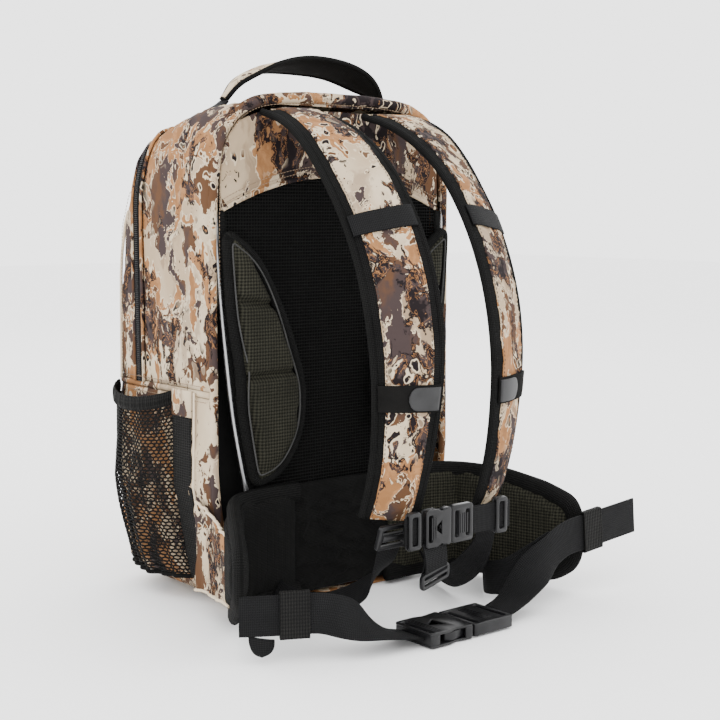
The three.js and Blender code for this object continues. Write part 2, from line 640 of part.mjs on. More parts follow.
addBody();
addMainZip(group.lid);
addLid(group.lid);
addFrontPocket(group.lid);
addTrayDoor(group.tray_door);
addFrameWire();
addBackPanels();
addBackPads();
addSidePockets();
addWings();
addBelt(group.belt_right, group.keeper_left, group.keeper_right);
addShoulderStraps({ left: group.tab_left, right: group.tab_right });
addLowerWebbing();
addSternum(group.sternum_left, group.sternum_right, group.sternum_male);
addHandle(group.handle);
addSliders(group.main_slider, group.main_pull, group.pocket_slider, group.tray_slider);

pack.position.y = -BASE_CENTRE_Y;
export default pack;
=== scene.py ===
"""Tackle backpack: the looks of every piece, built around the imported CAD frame.

Places are in millimetres from the middle of the pack's back plane at floor level, as the pack is
drawn: x to the side, y forward from the back plane, z up. at() turns them into the frame's metres.
"""
import math

import bmesh
import bpy
import numpy as np
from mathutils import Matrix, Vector, noise
from mathutils.bvhtree import BVHTree


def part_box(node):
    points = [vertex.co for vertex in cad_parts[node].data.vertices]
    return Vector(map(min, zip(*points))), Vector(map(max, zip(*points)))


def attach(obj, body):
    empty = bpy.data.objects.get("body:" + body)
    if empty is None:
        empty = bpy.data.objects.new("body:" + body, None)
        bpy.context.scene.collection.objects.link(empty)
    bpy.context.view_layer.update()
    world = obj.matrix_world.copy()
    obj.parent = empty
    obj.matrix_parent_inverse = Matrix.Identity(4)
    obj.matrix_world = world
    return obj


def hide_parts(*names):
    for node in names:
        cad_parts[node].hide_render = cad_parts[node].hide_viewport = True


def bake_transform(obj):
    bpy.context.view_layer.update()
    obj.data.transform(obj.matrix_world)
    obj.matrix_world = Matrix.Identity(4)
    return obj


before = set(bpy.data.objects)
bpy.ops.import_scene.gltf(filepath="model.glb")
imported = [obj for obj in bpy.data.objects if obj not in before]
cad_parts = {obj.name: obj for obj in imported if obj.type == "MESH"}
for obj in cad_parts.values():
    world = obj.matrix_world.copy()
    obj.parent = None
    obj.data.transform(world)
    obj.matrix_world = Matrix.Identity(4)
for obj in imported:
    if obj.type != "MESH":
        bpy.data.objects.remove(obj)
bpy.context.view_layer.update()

BACK_PLANE_Y = -90.0  # of the frame's origin, which is the centre of the base
SIDES = (("left", -1), ("right", 1))

LENS = 69.05
CAMERA_PLACE = (-834.5, -1044.6, 382)
CAMERA_DIP, CAMERA_TURN = 6.4, 39.6  # degrees below level, and from the pack's depth axis
THREAD_RADIUS, STITCH = 0.35, 2.3


# ---- camera -------------------------------------------------------------------------------------
def at(x, y, z):
    """A place in the frame, in its metres."""
    return Vector((x, y + BACK_PLANE_Y, z)) / 1000


def add_camera():
    data = bpy.data.cameras.new("camera")
    data.lens = LENS
    data.sensor_width = 36
    camera = bpy.data.objects.new("camera", data)
    camera.location = at(*CAMERA_PLACE)
    camera.rotation_euler = (math.radians(90 - CAMERA_DIP), 0, math.radians(-CAMERA_TURN))
    bpy.context.scene.collection.objects.link(camera)
    bpy.context.scene.camera = camera


add_camera()


# ---- curves and grids ---------------------------------------------------------------------------
def vec(points):
    return np.array(points, float)


def unit(v):
    return v / np.maximum(np.linalg.norm(v, axis=-1, keepdims=True), 1e-9)


def smooth(t):
    """An even rise from 0 to 1 that starts and ends level."""
    t = np.clip(t, 0, 1)
    return t * t * (3 - 2 * t)


def from_edge(t):
    """Distance of a share between 0 and 1 to the nearer end."""
    return np.minimum(t, 1 - t)


def shares(rows, columns):
    """A column and a row of shares from 0 to 1, for rules over a grid of that size."""
    return np.linspace(0, 1, rows)[:, None], np.linspace(0, 1, columns)[None, :]


def lengths(line):
    """Distance along a line of points, at each of them."""
    return np.concatenate([[0], np.cumsum(np.linalg.norm(np.diff(line, axis=0), axis=1))])


def sample(places, known, rows):
    """The rows of a table, read at places between its known ones."""
    return np.stack([np.interp(places, known, rows[:, i]) for i in range(3)], axis=1)


def resample(line, count):
    """The same line with evenly spaced points."""
    total = lengths(line)
    return sample(np.linspace(0, total[-1], count), total, line)


def spline(points, count):
    """Points evenly spaced along a centripetal spline through the given ones, as the CAD draws it."""
    p = vec(points)
    p = np.vstack([2 * p[0] - p[1], p, 2 * p[-1] - p[-2]])
    t = np.linspace(0, 1, 40, endpoint=False)[:, None]
    fine = []
    for a, b, c, d in zip(p[:-3], p[1:-2], p[2:-1], p[3:]):
        ta, tb, tc = (max(np.linalg.norm(end - start) ** 0.5, 1e-4)
                      for start, end in ((a, b), (b, c), (c, d)))
        m1 = ((b - a) / ta - (c - a) / (ta + tb) + (c - b) / tb) * tb
        m2 = ((c - b) / tb - (d - b) / (tb + tc) + (d - c) / tc) * tb
        fine.append((2 * t**3 - 3 * t**2 + 1) * b + (t**3 - 2 * t**2 + t) * m1
                    + (-2 * t**3 + 3 * t**2) * c + (t**3 - t**2) * m2)
    return resample(np.vstack(fine + [p[-2:-1]]), count)


def tangents(line, closed=False):
    if closed:
        return unit(np.roll(line, -1, axis=0) - np.roll(line, 1, axis=0))
    return unit(np.gradient(line, axis=0))


def grid_normals(grid, away_from):
    """The normal at each point of a grid, on the side that faces away from a place."""
    n = unit(np.cross(np.gradient(grid, axis=0), np.gradient(grid, axis=1)))
    return -n if np.sum(n * (grid - vec(away_from))) < 0 else n


def relax(grid, times):
    """Evens out a grid of points and keeps its border."""
    g = grid.copy()
    for _ in range(times):
        around = g[:-2, 1:-1] + g[2:, 1:-1] + g[1:-1, :-2] + g[1:-1, 2:]
        g[1:-1, 1:-1] = (g[1:-1, 1:-1] * 2 + around) / 6
    return g


def crumple(points, scale, stretch=(1, 1, 1), seed=0.0, octaves=3):
    """A noise value for each point of an array, with folds longer along the stretched directions."""
    flat = points.reshape(-1, 3) / scale / vec(stretch) + seed
    values = [noise.fractal(Vector(p), 0.9, 2.0, octaves) for p in flat]
    return vec(values).reshape(points.shape[:-1])


# ---- meshes -------------------------------------------------------------------------------------
def ridges(noise_values, low=-0.2):
    """Sharp creases, 1 high, where a noise value passes zero."""
    return np.clip(1 - np.abs(noise_values) * 4, low, 1)


class Shape:
    """Vertices, faces and texture places of one piece while it is put together."""

    def __init__(self):
        self.verts = []
        self.faces = []
        self.uvs = []

    def add_points(self, points, uvs):
        start = len(self.verts)
        self.verts.extend(map(tuple, points))
        self.uvs.extend(map(tuple, uvs))
        return start

    def bridge(self, first, second, count):
        """Faces between two rings, given by the places of their first points."""
        for j in range(count):
            k = (j + 1) % count
            self.faces.append((first + j, first + k, second + k, second + j))

    def grid(self, grid, closed=False, uv=None, flip=False):
        """A sheet through rows of points. A closed one joins each row's end to its start."""
        rows, columns = grid.shape[:2]
        if uv is None:
            uv = table(lengths(grid[:, columns // 2]), lengths(grid[rows // 2]))
        start = self.add_points(grid.reshape(-1, 3), uv.reshape(-1, 2))
        last = columns if closed else columns - 1
        for i in range(rows - 1):
            for j in range(last):
                a = start + i * columns + j
                b = start + i * columns + (j + 1) % columns
                quad = (a, b, b + columns, a + columns)
                self.faces.append(quad[::-1] if flip else quad)
        return start

    def slab(self, outer, inner, uv=None):
        """A closed sheet with thickness between two grids of the same size."""
        rows, columns = outer.shape[:2]
        a = self.grid(outer, uv=uv)
        b = self.grid(inner, uv=uv, flip=True)
        ring = [(i, 0) for i in range(rows)] + [(rows - 1, j) for j in range(1, columns)]
        ring += [(i, columns - 1) for i in range(rows - 2, -1, -1)]
        ring += [(0, j) for j in range(columns - 2, 0, -1)]
        index = [i * columns + j for i, j in ring]
        for p, q in zip(index, index[1:] + index[:1]):
            self.faces.append((a + q, a + p, b + p, b + q))
        return self

    def loft(self, sections, uv=None):
        """A closed body through rings of points, with flat ends."""
        rows, columns = sections.shape[:2]
        start = self.grid(sections, closed=True, uv=uv)
        self.faces.append(tuple(start + j for j in range(columns))[::-1])
        self.faces.append(tuple(start + (rows - 1) * columns + j for j in range(columns)))
        return self

    def tube(self, line, radius, sides=8, closed=False, flat=1.0, up=(0, 0, 1)):
        """A rod along a line of points. Its section may be flattened, and its radius may vary."""
        line = vec(line)
        t = tangents(line, closed)
        radius = np.broadcast_to(vec(radius), (len(line),))
        side = vec(up) - t[0] * np.dot(t[0], vec(up))
        if np.linalg.norm(side) < 1e-3:
            side = np.cross(t[0], (1.0, 0.3, 0.2))
        normals = [unit(side)]
        for way in t[1:]:
            normals.append(unit(normals[-1] - way * np.dot(normals[-1], way)))
        normals = np.array(normals)
        others = np.cross(t, normals)
        angle = np.linspace(0, 2 * np.pi, sides, endpoint=False)
        ring = (normals[:, None] * np.cos(angle)[None, :, None] * flat
                + others[:, None] * np.sin(angle)[None, :, None]) * radius[:, None, None]
        grid = line[:, None] + ring
        uv = table(lengths(line), angle * float(np.mean(radius)))
        if not closed:
            return self.loft(grid, uv=uv)
        rows = len(line)
        start = self.add_points(grid.reshape(-1, 3), uv.reshape(-1, 2))
        for i in range(rows):
            self.bridge(start + i * sides, start + (i + 1) % rows * sides, sides)
        return self


def table(along, across):
    """Texture places for a grid, from its rows' and its columns' measures."""
    return np.stack(np.meshgrid(along, across, indexing="ij"), axis=-1)


def set_uv(mesh, uv):
    """Writes one texture place for each vertex of a mesh, given in millimetres."""
    layer = mesh.uv_layers.new(name="UVMap")
    index = np.zeros(len(mesh.loops), int)
    mesh.loops.foreach_get("vertex_index", index)
    layer.data.foreach_set("uv", (uv[index] / 1000).ravel())


def new_object(name, mesh):
    obj = bpy.data.objects.new(name, mesh)
    bpy.context.scene.collection.objects.link(obj)
    return obj


def make(name, shape, material, body, stands_for=()):
    """The piece's object, in the frame's metres, riding on its body."""
    mesh = bpy.data.meshes.new(name)
    verts = [(x / 1000, (y + BACK_PLANE_Y) / 1000, z / 1000) for x, y, z in shape.verts]
    mesh.from_pydata(verts, [], shape.faces)
    set_uv(mesh, np.array(shape.uvs))
    bm = bmesh.new()
    bm.from_mesh(mesh)
    bmesh.ops.recalc_face_normals(bm, faces=bm.faces)
    bm.to_mesh(mesh)
    bm.free()
    mesh.polygons.foreach_set("use_smooth", [True] * len(mesh.polygons))
    mesh.materials.append(material)
    obj = new_object(name, mesh)
    if stands_for:
        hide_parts(*stands_for)
    if body:
        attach(obj, body)
    return obj


def settle(obj):
    """Applies the object's modifiers to its mesh."""
    bpy.context.view_layer.update()
    done = bpy.data.meshes.new_from_object(obj.evaluated_get(bpy.context.evaluated_depsgraph_get()))
    obj.modifiers.clear()
    old = obj.data
    obj.data = done
    bpy.data.meshes.remove(old)


def surface_of(*names):
    """A tree of the faces of CAD nodes or pieces, for finding points on their surface."""
    verts, faces = [], []
    for name in names:
        mesh = bpy.data.objects[name].data
        start = len(verts)
        verts.extend(v.co.copy() for v in mesh.vertices)
        faces.extend([start + i for i in p.vertices] for p in mesh.polygons)
    return BVHTree.FromPolygons(verts, faces)


def hit(tree, inside, direction, far=600.0):
    """The outermost point of a surface on a ray from a point inside it, in millimetres, or None.
    A ray that slips through the gap between two nodes tries again above and below it."""
    d = Vector(direction).normalized()
    for nudge in (0.0, 0.8, -0.8, 4.0, -4.0, 7.0, -7.0):
        x, y, z = inside
        found = tree.ray_cast(at(x, y, z + nudge) + d * far / 1000, -d, far / 1000)[0]
        if found is not None:
            return vec((found.x * 1000, found.y * 1000 - BACK_PLANE_Y, found.z * 1000 - nudge))
    return None


def stitch_row(shape, line, normal, pitch=3.4):
    """Thread lying on a surface: short rods along a line, just proud of it."""
    total = lengths(line)
    n = np.broadcast_to(vec(normal), line.shape)
    rise = vec([-THREAD_RADIUS, 0.3, -THREAD_RADIUS])[:, None]
    for k in range(int(total[-1] / pitch)):
        ends = k * pitch + vec([0, STITCH / 2, STITCH])
        shape.tube(sample(ends, total, line) + unit(sample(ends, total, n)) * rise, THREAD_RADIUS, sides=4)


# ---- materials ----------------------------------------------------------------------------------
class Recipe:
    """A node material put together around one Principled shader."""

    def __init__(self, name, colour, rough, metallic=0.0, specular=0.5):
        self.material = bpy.data.materials.new(name)
        self.material.use_nodes = True
        self.tree = self.material.node_tree
        self.shader = self.tree.nodes["Principled BSDF"]
        self.set("Base Color", (*colour, 1))
        self.set("Roughness", rough)
        self.set("Metallic", metallic)
        self.set("Specular IOR Level", specular)

    def set(self, name, value):
        self.put(self.shader.inputs[name], value)

    def put(self, socket, value):
        if isinstance(value, bpy.types.NodeSocket):
            self.tree.links.new(value, socket)
        else:
            socket.default_value = value

    def node(self, kind, inputs, **settings):
        made = self.tree.nodes.new(kind)
        for key, value in settings.items():
            setattr(made, key, value)
        for key, value in inputs.items():
            self.put(made.inputs[key], value)
        return made

    def math(self, operation, a, b=0.0):
        return self.node("ShaderNodeMath", {0: a, 1: b}, operation=operation).outputs[0]

    def vector(self, operation, inputs):
        return self.node("ShaderNodeVectorMath", inputs, operation=operation).outputs[0]

    def place(self, kind="Object", scale=(1, 1, 1), offset=(0, 0, 0)):
        source = self.node("ShaderNodeTexCoord", {}).outputs[kind]
        return self.shifted(source, offset, scale)

    def shifted(self, place, offset, scale=(1, 1, 1)):
        inputs = {"Vector": place, "Scale": scale, "Location": offset}
        return self.node("ShaderNodeMapping", inputs).outputs[0]

    def split(self, place):
        return self.node("ShaderNodeSeparateXYZ", {0: place}).outputs

    def noise(self, place, scale, detail=2.0, rough=0.5, out=0):
        inputs = {"Vector": place, "Scale": scale, "Detail": detail, "Roughness": rough}
        return self.node("ShaderNodeTexNoise", inputs).outputs[out]

    def cells(self, place, scale, out="Distance"):
        return self.node("ShaderNodeTexVoronoi", {"Vector": place, "Scale": scale}).outputs[out]

    def weave(self, scale, fine_scale):
        """Height of a fine twill with some loose fibres."""
        lines = self.node("ShaderNodeTexWave", {"Vector": self.place(), "Scale": scale},
                          bands_direction="DIAGONAL").outputs["Fac"]
        return self.math("ADD", lines, self.noise(self.place(), fine_scale, 2))

    def step(self, value, low, high):
        inputs = {"Value": value, "From Min": low, "From Max": high}
        return self.node("ShaderNodeMapRange", inputs, interpolation_type="SMOOTHSTEP").outputs[0]

    def ring(self, value, middle, half):
        """1 on the thin band where a value passes its middle, 0 away from it."""
        off = self.math("ABSOLUTE", self.math("SUBTRACT", value, middle))
        return self.step(off, half, half * 0.5)

    def mix(self, share, a, b):
        made = self.node("ShaderNodeMix", {0: share}, data_type="RGBA")
        self.put(made.inputs[6], a if isinstance(a, bpy.types.NodeSocket) else (*a, 1))
        self.put(made.inputs[7], b if isinstance(b, bpy.types.NodeSocket) else (*b, 1))
        return made.outputs[2]

    def roughen(self, value, low, high):
        """Lets the roughness run from low to high as a value runs from 0 to 1."""
        inputs = {"Value": value, "To Min": low, "To Max": high}
        self.set("Roughness", self.node("ShaderNodeMapRange", inputs).outputs[0])

    def bump(self, height, strength, distance):
        inputs = {"Height": height, "Strength": strength, "Distance": distance}
        self.set("Normal", self.node("ShaderNodeBump", inputs).outputs[0])
        return self.material


CREAM = (0.345, 0.258, 0.166)
LIGHT = (0.48, 0.39, 0.275)
TAN = (0.215, 0.100, 0.040)
BROWN = (0.080, 0.038, 0.018)
MAUVE = (0.038, 0.026, 0.025)
UMBER = (0.0085, 0.0058, 0.0064)
WARM_TAN = (0.285, 0.14, 0.060)
DRIP = (0.17, 0.11, 0.070)


def camouflage():
    """Printed cloth: pools of tan, brown and umber with pale outlines and clusters of droplets."""
    r = Recipe("camo_cloth", CREAM, 0.8, specular=0.1)
    raw = r.place(scale=(1.35, 1.35, 0.95), offset=(0.31, 0.17, 0.09))
    push = r.vector("SUBTRACT", {0: r.noise(raw, 24, 3, 0.55, out=1), 1: (0.5, 0.5, 0.5)})
    flow = r.vector("ADD", {0: raw, 1: r.vector("SCALE", {0: push, "Scale": 0.055})})

    def moved(x, scale=(1, 1, 1)):
        """The bent texture places, moved so that each layer has a pattern of its own."""
        return r.shifted(flow, (x, x * 0.7, -x), scale)

    pools = r.noise(moved(0.0), 13, 4, 0.58)
    browns = r.noise(moved(1.7), 22, 5, 0.62)
    darks = r.noise(moved(3.1, (1, 1, 0.8)), 17, 6, 0.68)
    drips = r.noise(moved(5.3, (1, 1, 0.3)), 34, 3, 0.5)
    specks = r.noise(moved(7.9), 75, 3, 0.6)
    drops = r.cells(moved(9.4), 62)
    tint = r.cells(moved(9.4), 62, out="Color")
    patch = r.noise(moved(11.0), 9, 2, 0.5)
    beads = r.math("MULTIPLY", r.step(patch, 0.50, 0.56), r.step(tint, 0.25, 0.3))

    tans = r.mix(r.step(specks, 0.4, 0.62), TAN, WARM_TAN)
    mauves = r.mix(r.step(drips, 0.42, 0.6), BROWN, MAUVE)
    umbers = r.mix(r.step(specks, 0.5, 0.6), UMBER, MAUVE)
    cores = r.mix(r.step(tint, 0.45, 0.5), BROWN, UMBER)
    colour = r.mix(r.step(r.noise(moved(12.5), 9, 2), 0.40, 0.62), CREAM, LIGHT)
    for share, paint in (
            (r.math("MULTIPLY", r.step(drips, 0.50, 0.62), 0.55), DRIP),
            (r.step(pools, 0.508, 0.520), tans),
            (r.ring(pools, 0.514, 0.010), LIGHT),
            (r.step(browns, 0.535, 0.548), mauves),
            (r.ring(browns, 0.536, 0.009), LIGHT),
            (r.step(darks, 0.530, 0.545), umbers),
            (r.ring(darks, 0.575, 0.006), TAN),
            (r.math("MULTIPLY", r.step(drops, 0.40, 0.36), beads), LIGHT),
            (r.math("MULTIPLY", r.step(drops, 0.30, 0.27), beads), cores),
            (r.math("MULTIPLY", r.step(drops, 0.12, 0.09), beads), TAN),
            (r.math("MULTIPLY", r.step(specks, 0.66, 0.69), r.step(patch, 0.48, 0.42)), UMBER)):
        colour = r.mix(share, colour, paint)
    r.set("Base Color", colour)
    return r.bump(r.weave(480, 900), 0.10, 0.0004)


def waffle(name, colour, light, pitch):
    """Spacer mesh: rows of small lozenge cells in the texture places of the piece."""
    r = Recipe(name, colour, 0.85, specular=0.06)
    p = r.split(r.place("UV"))
    cycle = 2 * math.pi / pitch
    a = r.math("SINE", r.math("MULTIPLY", r.math("ADD", p[0], p[1]), cycle))
    b = r.math("SINE", r.math("MULTIPLY", r.math("SUBTRACT", p[0], p[1]), cycle))
    cell = r.math("MULTIPLY", r.math("ADD", r.math("MULTIPLY", a, b), 1.0), 0.5)
    uneven = r.math("ADD", r.noise(r.place(), 30, 3), 0.35)
    shade = r.math("MULTIPLY", r.step(cell, 0.1, 0.9), uneven)
    r.set("Base Color", r.mix(shade, colour, light))
    return r.bump(cell, 0.8, 0.0012)


def tape(name, colour, light, rib=0.0016, strength=0.5):
    """Woven tape: ribs across its length with a finer thread along it."""
    r = Recipe(name, colour, 0.7, specular=0.09)
    p = r.split(r.place("UV"))
    ribs = r.math("SINE", r.math("MULTIPLY", p[0], 2 * math.pi / rib))
    threads = r.math("SINE", r.math("MULTIPLY", p[1], 2 * math.pi / (rib * 1.3)))
    height = r.math("ADD", ribs, r.math("MULTIPLY", threads, 0.6))
    uneven = r.math("ADD", r.noise(r.place(), 55, 3), 0.25)
    tone = r.math("MULTIPLY", r.step(height, -1.2, 1.4), uneven)
    r.set("Base Color", r.mix(tone, colour, light))
    return r.bump(height, strength, 0.0004)


def cloth(name, colour, light, rough=0.85, grain=700):
    """Plain cloth with a fine weave and slightly uneven tone."""
    r = Recipe(name, colour, rough, specular=0.06)
    r.set("Base Color", r.mix(r.noise(r.place(), 40, 4, 0.6), colour, light))
    return r.bump(r.weave(grain, grain * 1.5), 0.25, 0.0004)


def moulded(name, colour, rough):
    """Moulded plastic with a fine spark-eroded texture and rubbed spots."""
    r = Recipe(name, colour, rough, specular=0.24)
    worn = r.noise(r.place(), 45, 4, 0.6)
    rubbed = tuple(c * 1.5 + 0.004 for c in colour)
    r.roughen(worn, rough - 0.1, rough + 0.12)
    r.set("Base Color", r.mix(r.step(worn, 0.3, 0.75), colour, rubbed))
    return r.bump(r.noise(r.place(), 1500, 2), 0.12, 0.0002)


def metal(name, colour, rough, metallic=1.0):
    """Drawn or plated metal with faint lines along it."""
    r = Recipe(name, colour, rough, metallic=metallic)
    lines = r.noise(r.place(scale=(1, 1, 0.05)), 900, 2)
    r.roughen(lines, rough - 0.08, rough + 0.12)
    return r.bump(lines, 0.08, 0.0002)


CAMO = camouflage()
NET = cloth("net_yarn", (0.004, 0.004, 0.004), (0.009, 0.009, 0.0085), rough=0.55)
BORDER = waffle("border_mesh", (0.0022, 0.0022, 0.0022), (0.011, 0.011, 0.0105), 0.0030)
WAFFLE = waffle("pad_mesh", (0.006, 0.006, 0.0045), (0.030, 0.029, 0.021), 0.0062)
LINING = cloth("lining_cloth", (0.004, 0.004, 0.004), (0.008, 0.008, 0.008))
WEBBING = tape("webbing_tape", (0.0025, 0.0025, 0.0027), (0.010, 0.010, 0.0105))
RIBBED = tape("ribbed_band", (0.003, 0.003, 0.003), (0.013, 0.0125, 0.0115), rib=0.0024, strength=0.8)
LOOPS = cloth("loop_tape", (0.0025, 0.0025, 0.0025), (0.010, 0.0095, 0.009), rough=1.0, grain=420)
PIPING = cloth("pale_piping", (0.46, 0.37, 0.26), (0.62, 0.52, 0.39))
THREAD = cloth("thread", (0.16, 0.11, 0.075), (0.30, 0.22, 0.15))
DARK_THREAD = cloth("dark_thread", (0.02, 0.02, 0.02), (0.06, 0.06, 0.058))
PLASTIC = moulded("black_plastic", (0.005, 0.005, 0.0055), 0.32)
GREY_PLASTIC = moulded("grey_tab", (0.012, 0.012, 0.0125), 0.42)
STEEL = metal("frame_steel", (0.34, 0.345, 0.35), 0.34)
LACQUER = metal("black_lacquer", (0.02, 0.02, 0.021), 0.35, metallic=0.6)
BOARD = moulded("base_board", (0.05, 0.05, 0.05), 0.55)


# ---- bag: what its cloth follows ----------------------------------------------------------------
SEAM_Z = 206.0  # where the tray bay ends and the upper room starts
UPPER_Z = 212.5
BASE_RIM = 24.0
ZIP_Y = 124.5
WELT_Y = 7.8  # from the zip's middle to the edges of the cloth on both sides of it
SHOULDER_Z = 372  # where the zip leaves the straight side
DOOR_HALF = 105.0
CLOTH = 2.2
MIDDLE = (0, 95, 250)
HULL = surface_of("base_panel", "lower_side_left", "lower_side_right", "tray_door_panel", "upper_gusset",
                  "lid_gusset", "lid_front_panel", "zip_tape_rear", "zip_tape_front", "divider_panel")


def side_point(s, y, z):
    """The point of the bag's side at a depth and height."""
    return hit(HULL, (0, y, z), (s, 0, 0))


def front_point(x, z):
    """The point of the bag's front at a place across it and a height."""
    return hit(HULL, (x, 130, z), (0, 1, 0))


def zip_depth(z, offset=0.0):
    """Depth of the main zip at a height: straight up the side, then back over the shoulder."""
    if z <= SHOULDER_Z:
        return ZIP_Y + offset
    t = (math.sqrt(106**2 + 88 * (z - SHOULDER_Z)) - 106) / 44
    return ZIP_Y + offset - 46 * t * t


def arch_point(share, depth):
    """A point of the bag's arch: up the left side, over the top and down the right side.
    depth is a number, or a rule that gives the depth at a height."""
    top_of_side = 400.0
    if from_edge(share) < 0.28:
        z = UPPER_Z + (top_of_side - UPPER_Z) * from_edge(share) / 0.28
        way = (-1 if share < 0.5 else 1, 0, 0)
    else:
        turn = math.pi * (0.72 - share) / 0.44
        z = top_of_side
        way = (math.cos(turn), 0, math.sin(turn))
    height = z
    for _ in range(4):
        y = depth(height) if callable(depth) else depth
        found = hit(HULL, (0, y, z), way)
        if found is None:  # behind the shell's rear edge, beside the roll
            found = hit(HULL, (0, 9.0, z), way)
            found[1] = y
        height = found[2]
    return found


def arch_line(count, depth):
    return vec([arch_point(share, depth) for share in np.linspace(0, 1, count)])


def around_front(z, y_from, x_to, count):
    """Points along the bag's left side and round its front corner at one height, up to x = -x_to."""
    turn_x, turn_y = 95.0, 140.0
    rays = [((-turn_x, y, z), (-1, 0, 0)) for y in np.linspace(y_from, turn_y, count)]
    rays += [((-turn_x, turn_y, z), (math.cos(a), math.sin(a), 0))
             for a in np.linspace(math.pi, math.pi / 2, 16)[1:-1]]
    line = [p for p in (hit(HULL, *ray) for ray in rays) if p is not None and p[0] < -x_to]
    last = np.linspace(-turn_x, -x_to, 5) if x_to < turn_x else [-x_to]
    line += [p for p in (hit(HULL, (x, turn_y, z), (0, 1, 0)) for x in last) if p is not None]
    return vec(line)


def mirrored(grid):
    return grid * vec((-1, 1, 1))


def both_sides(left):
    """A line round the whole front, from its left half."""
    return np.vstack([left, mirrored(left)[::-1][1:]])


def wrinkles(points, seed):
    """Lift of broad folds with a few sharp creases between them."""
    broad = crumple(points, 58, (1, 1, 1), seed, 2)
    sharp = 1 - np.abs(crumple(points, 26, (1, 1, 1), seed + 7, 3)) * 3.4
    return broad * 3.0 + np.clip(sharp, -0.4, 1)


def hang(grid, puff, folds, seed):
    """Lets a sheet of the bag swell a little between its seams and wrinkle, more so near the seams."""
    n = grid_normals(grid, MIDDLE)
    rows, columns = grid.shape[:2]
    u, v = shares(rows, columns)
    edge = np.minimum(from_edge(u) * rows, from_edge(v) * columns)
    swell = puff * np.sqrt(np.clip(16 * u * (1 - u) * v * (1 - v), 0, 1))
    pucker = crumple(grid, 9, (1, 1, 1), seed + 13, 2) * smooth(1 - edge / 5) * 0.5
    lift = swell + folds * wrinkles(grid, seed) * smooth(edge / 6) + pucker
    return grid + n * lift[..., None], n


def cloth_sheet(name, grid, body, nodes, puff, folds, seed):
    outer, n = hang(relax(grid, 3), puff, folds, seed)
    return make(name, Shape().slab(outer, outer - n * CLOTH), CAMO, body, nodes)


# ---- bag: its sheets ----------------------------------------------------------------------------
def add_lower_sides():
    for side, s in SIDES:
        grid = vec([resample(around_front(z, 0.8, DOOR_HALF + 0.6, 22), 60)
                    for z in np.linspace(BASE_RIM + 0.4, SEAM_Z - 0.6, 44)])
        if s > 0:
            grid = mirrored(grid)
        cloth_sheet(f"tray_side_cloth_{side}", grid, "pack", [f"lower_side_{side}"], 2.5, 0.8, 3.1 * s)


def add_seam_band():
    """The taped seam between the tray bay and the upper room, round the left, front and right."""
    rows = []
    for z in (SEAM_Z + 0.1, SEAM_Z + 2, SEAM_Z + 4, UPPER_Z - 0.6):
        on_hull = min(max(z, SEAM_Z + 0.3), SEAM_Z + 5.7)
        left = resample(around_front(on_hull, 4.0, 0.0, 22), 70)
        left[:, 2] = z
        rows.append(both_sides(left))
    grid = vec(rows)
    n = grid_normals(grid, MIDDLE)
    bulge = vec([0.2, 1.3, 1.3, 0.2])[:, None, None]
    make("waist_seam", Shape().slab(grid + n * bulge, grid - n * CLOTH), CAMO, "pack")


def add_upper_cloth():
    columns = []
    for share in np.linspace(0, 1, 170):
        rear = arch_point(share, 0.8)
        front = arch_point(share, lambda z: zip_depth(z, -WELT_Y))
        line = vec([arch_point(share, y) for y in np.linspace(rear[1], front[1], 26)])
        line[0], line[-1] = rear, front
        columns.append(line)
    cloth_sheet("upper_bag_cloth", vec(columns), "pack", ["upper_gusset"], 3.0, 1.0, 11.0)


def radial_sheet(centre, middle, ring, rings):
    """A sheet from a middle point out to a closed ring, following the bag's surface."""
    a = unit(vec(middle) - vec(centre))
    grid = []
    for edge in ring:
        b = unit(edge - vec(centre))
        turn = math.acos(float(np.clip(np.dot(a, b), -1, 1)))
        line = []
        for share in np.linspace(0.02, 1, rings)[:-1]:
            way = (a * math.sin((1 - share) * turn) + b * math.sin(share * turn)) / math.sin(turn)
            found = hit(HULL, centre, way)
            line.append(found if found is not None else middle + (edge - middle) * share)
        grid.append(line + [edge])
    return vec(grid).transpose(1, 0, 2)


def closed_cloth(name, grid, body, nodes, puff, folds, seed):
    """A sheet whose rows are rings: the first is its middle, the last its border."""
    rows, columns = grid.shape[:2]
    wrapped = np.concatenate([grid[:, -3:], grid, grid[:, :3]], axis=1)
    even = relax(wrapped, 4)
    even[:, 0:3] = even[:, -6:-3]
    even = even[:, 3:-3]
    n = grid_normals(wrapped, MIDDLE)[:, 3:-3]
    u = np.linspace(0, 1, rows)[:, None]
    border = smooth((1 - u) * rows / 6)
    lift = puff * np.sqrt(np.clip(1 - u**2, 0, 1)) + folds * wrinkles(even, seed) * border
    outer = even + n * lift[..., None]
    shape = Shape()
    borders = []
    for sheet, flip in ((outer, False), (outer - n * CLOTH, True)):
        start = shape.grid(sheet, closed=True, flip=flip)
        middle = shape.add_points([sheet[0].mean(axis=0)], [(0.0, 0.0)])
        for j in range(columns):
            shape.faces.append((start + j, start + (j + 1) % columns, middle))
        borders.append(start + (rows - 1) * columns)
    shape.bridge(*borders, columns)
    return make(name, shape, CAMO, body, nodes)


def add_lid_cloth():
    arch = arch_line(150, lambda z: zip_depth(z, WELT_Y))
    front = both_sides(around_front(UPPER_Z + 0.6, ZIP_Y + WELT_Y, 0.0, 8))
    ring = np.vstack([arch, resample(front, 70)[::-1][1:-1]])
    inside = (0, 100, 310)
    grid = radial_sheet(inside, hit(HULL, inside, (0, 1, 0)), ring, 34)
    closed_cloth("lid_cloth", grid, "lid", ["lid_gusset", "lid_front_panel"], 3.0, 1.0, 21.0)


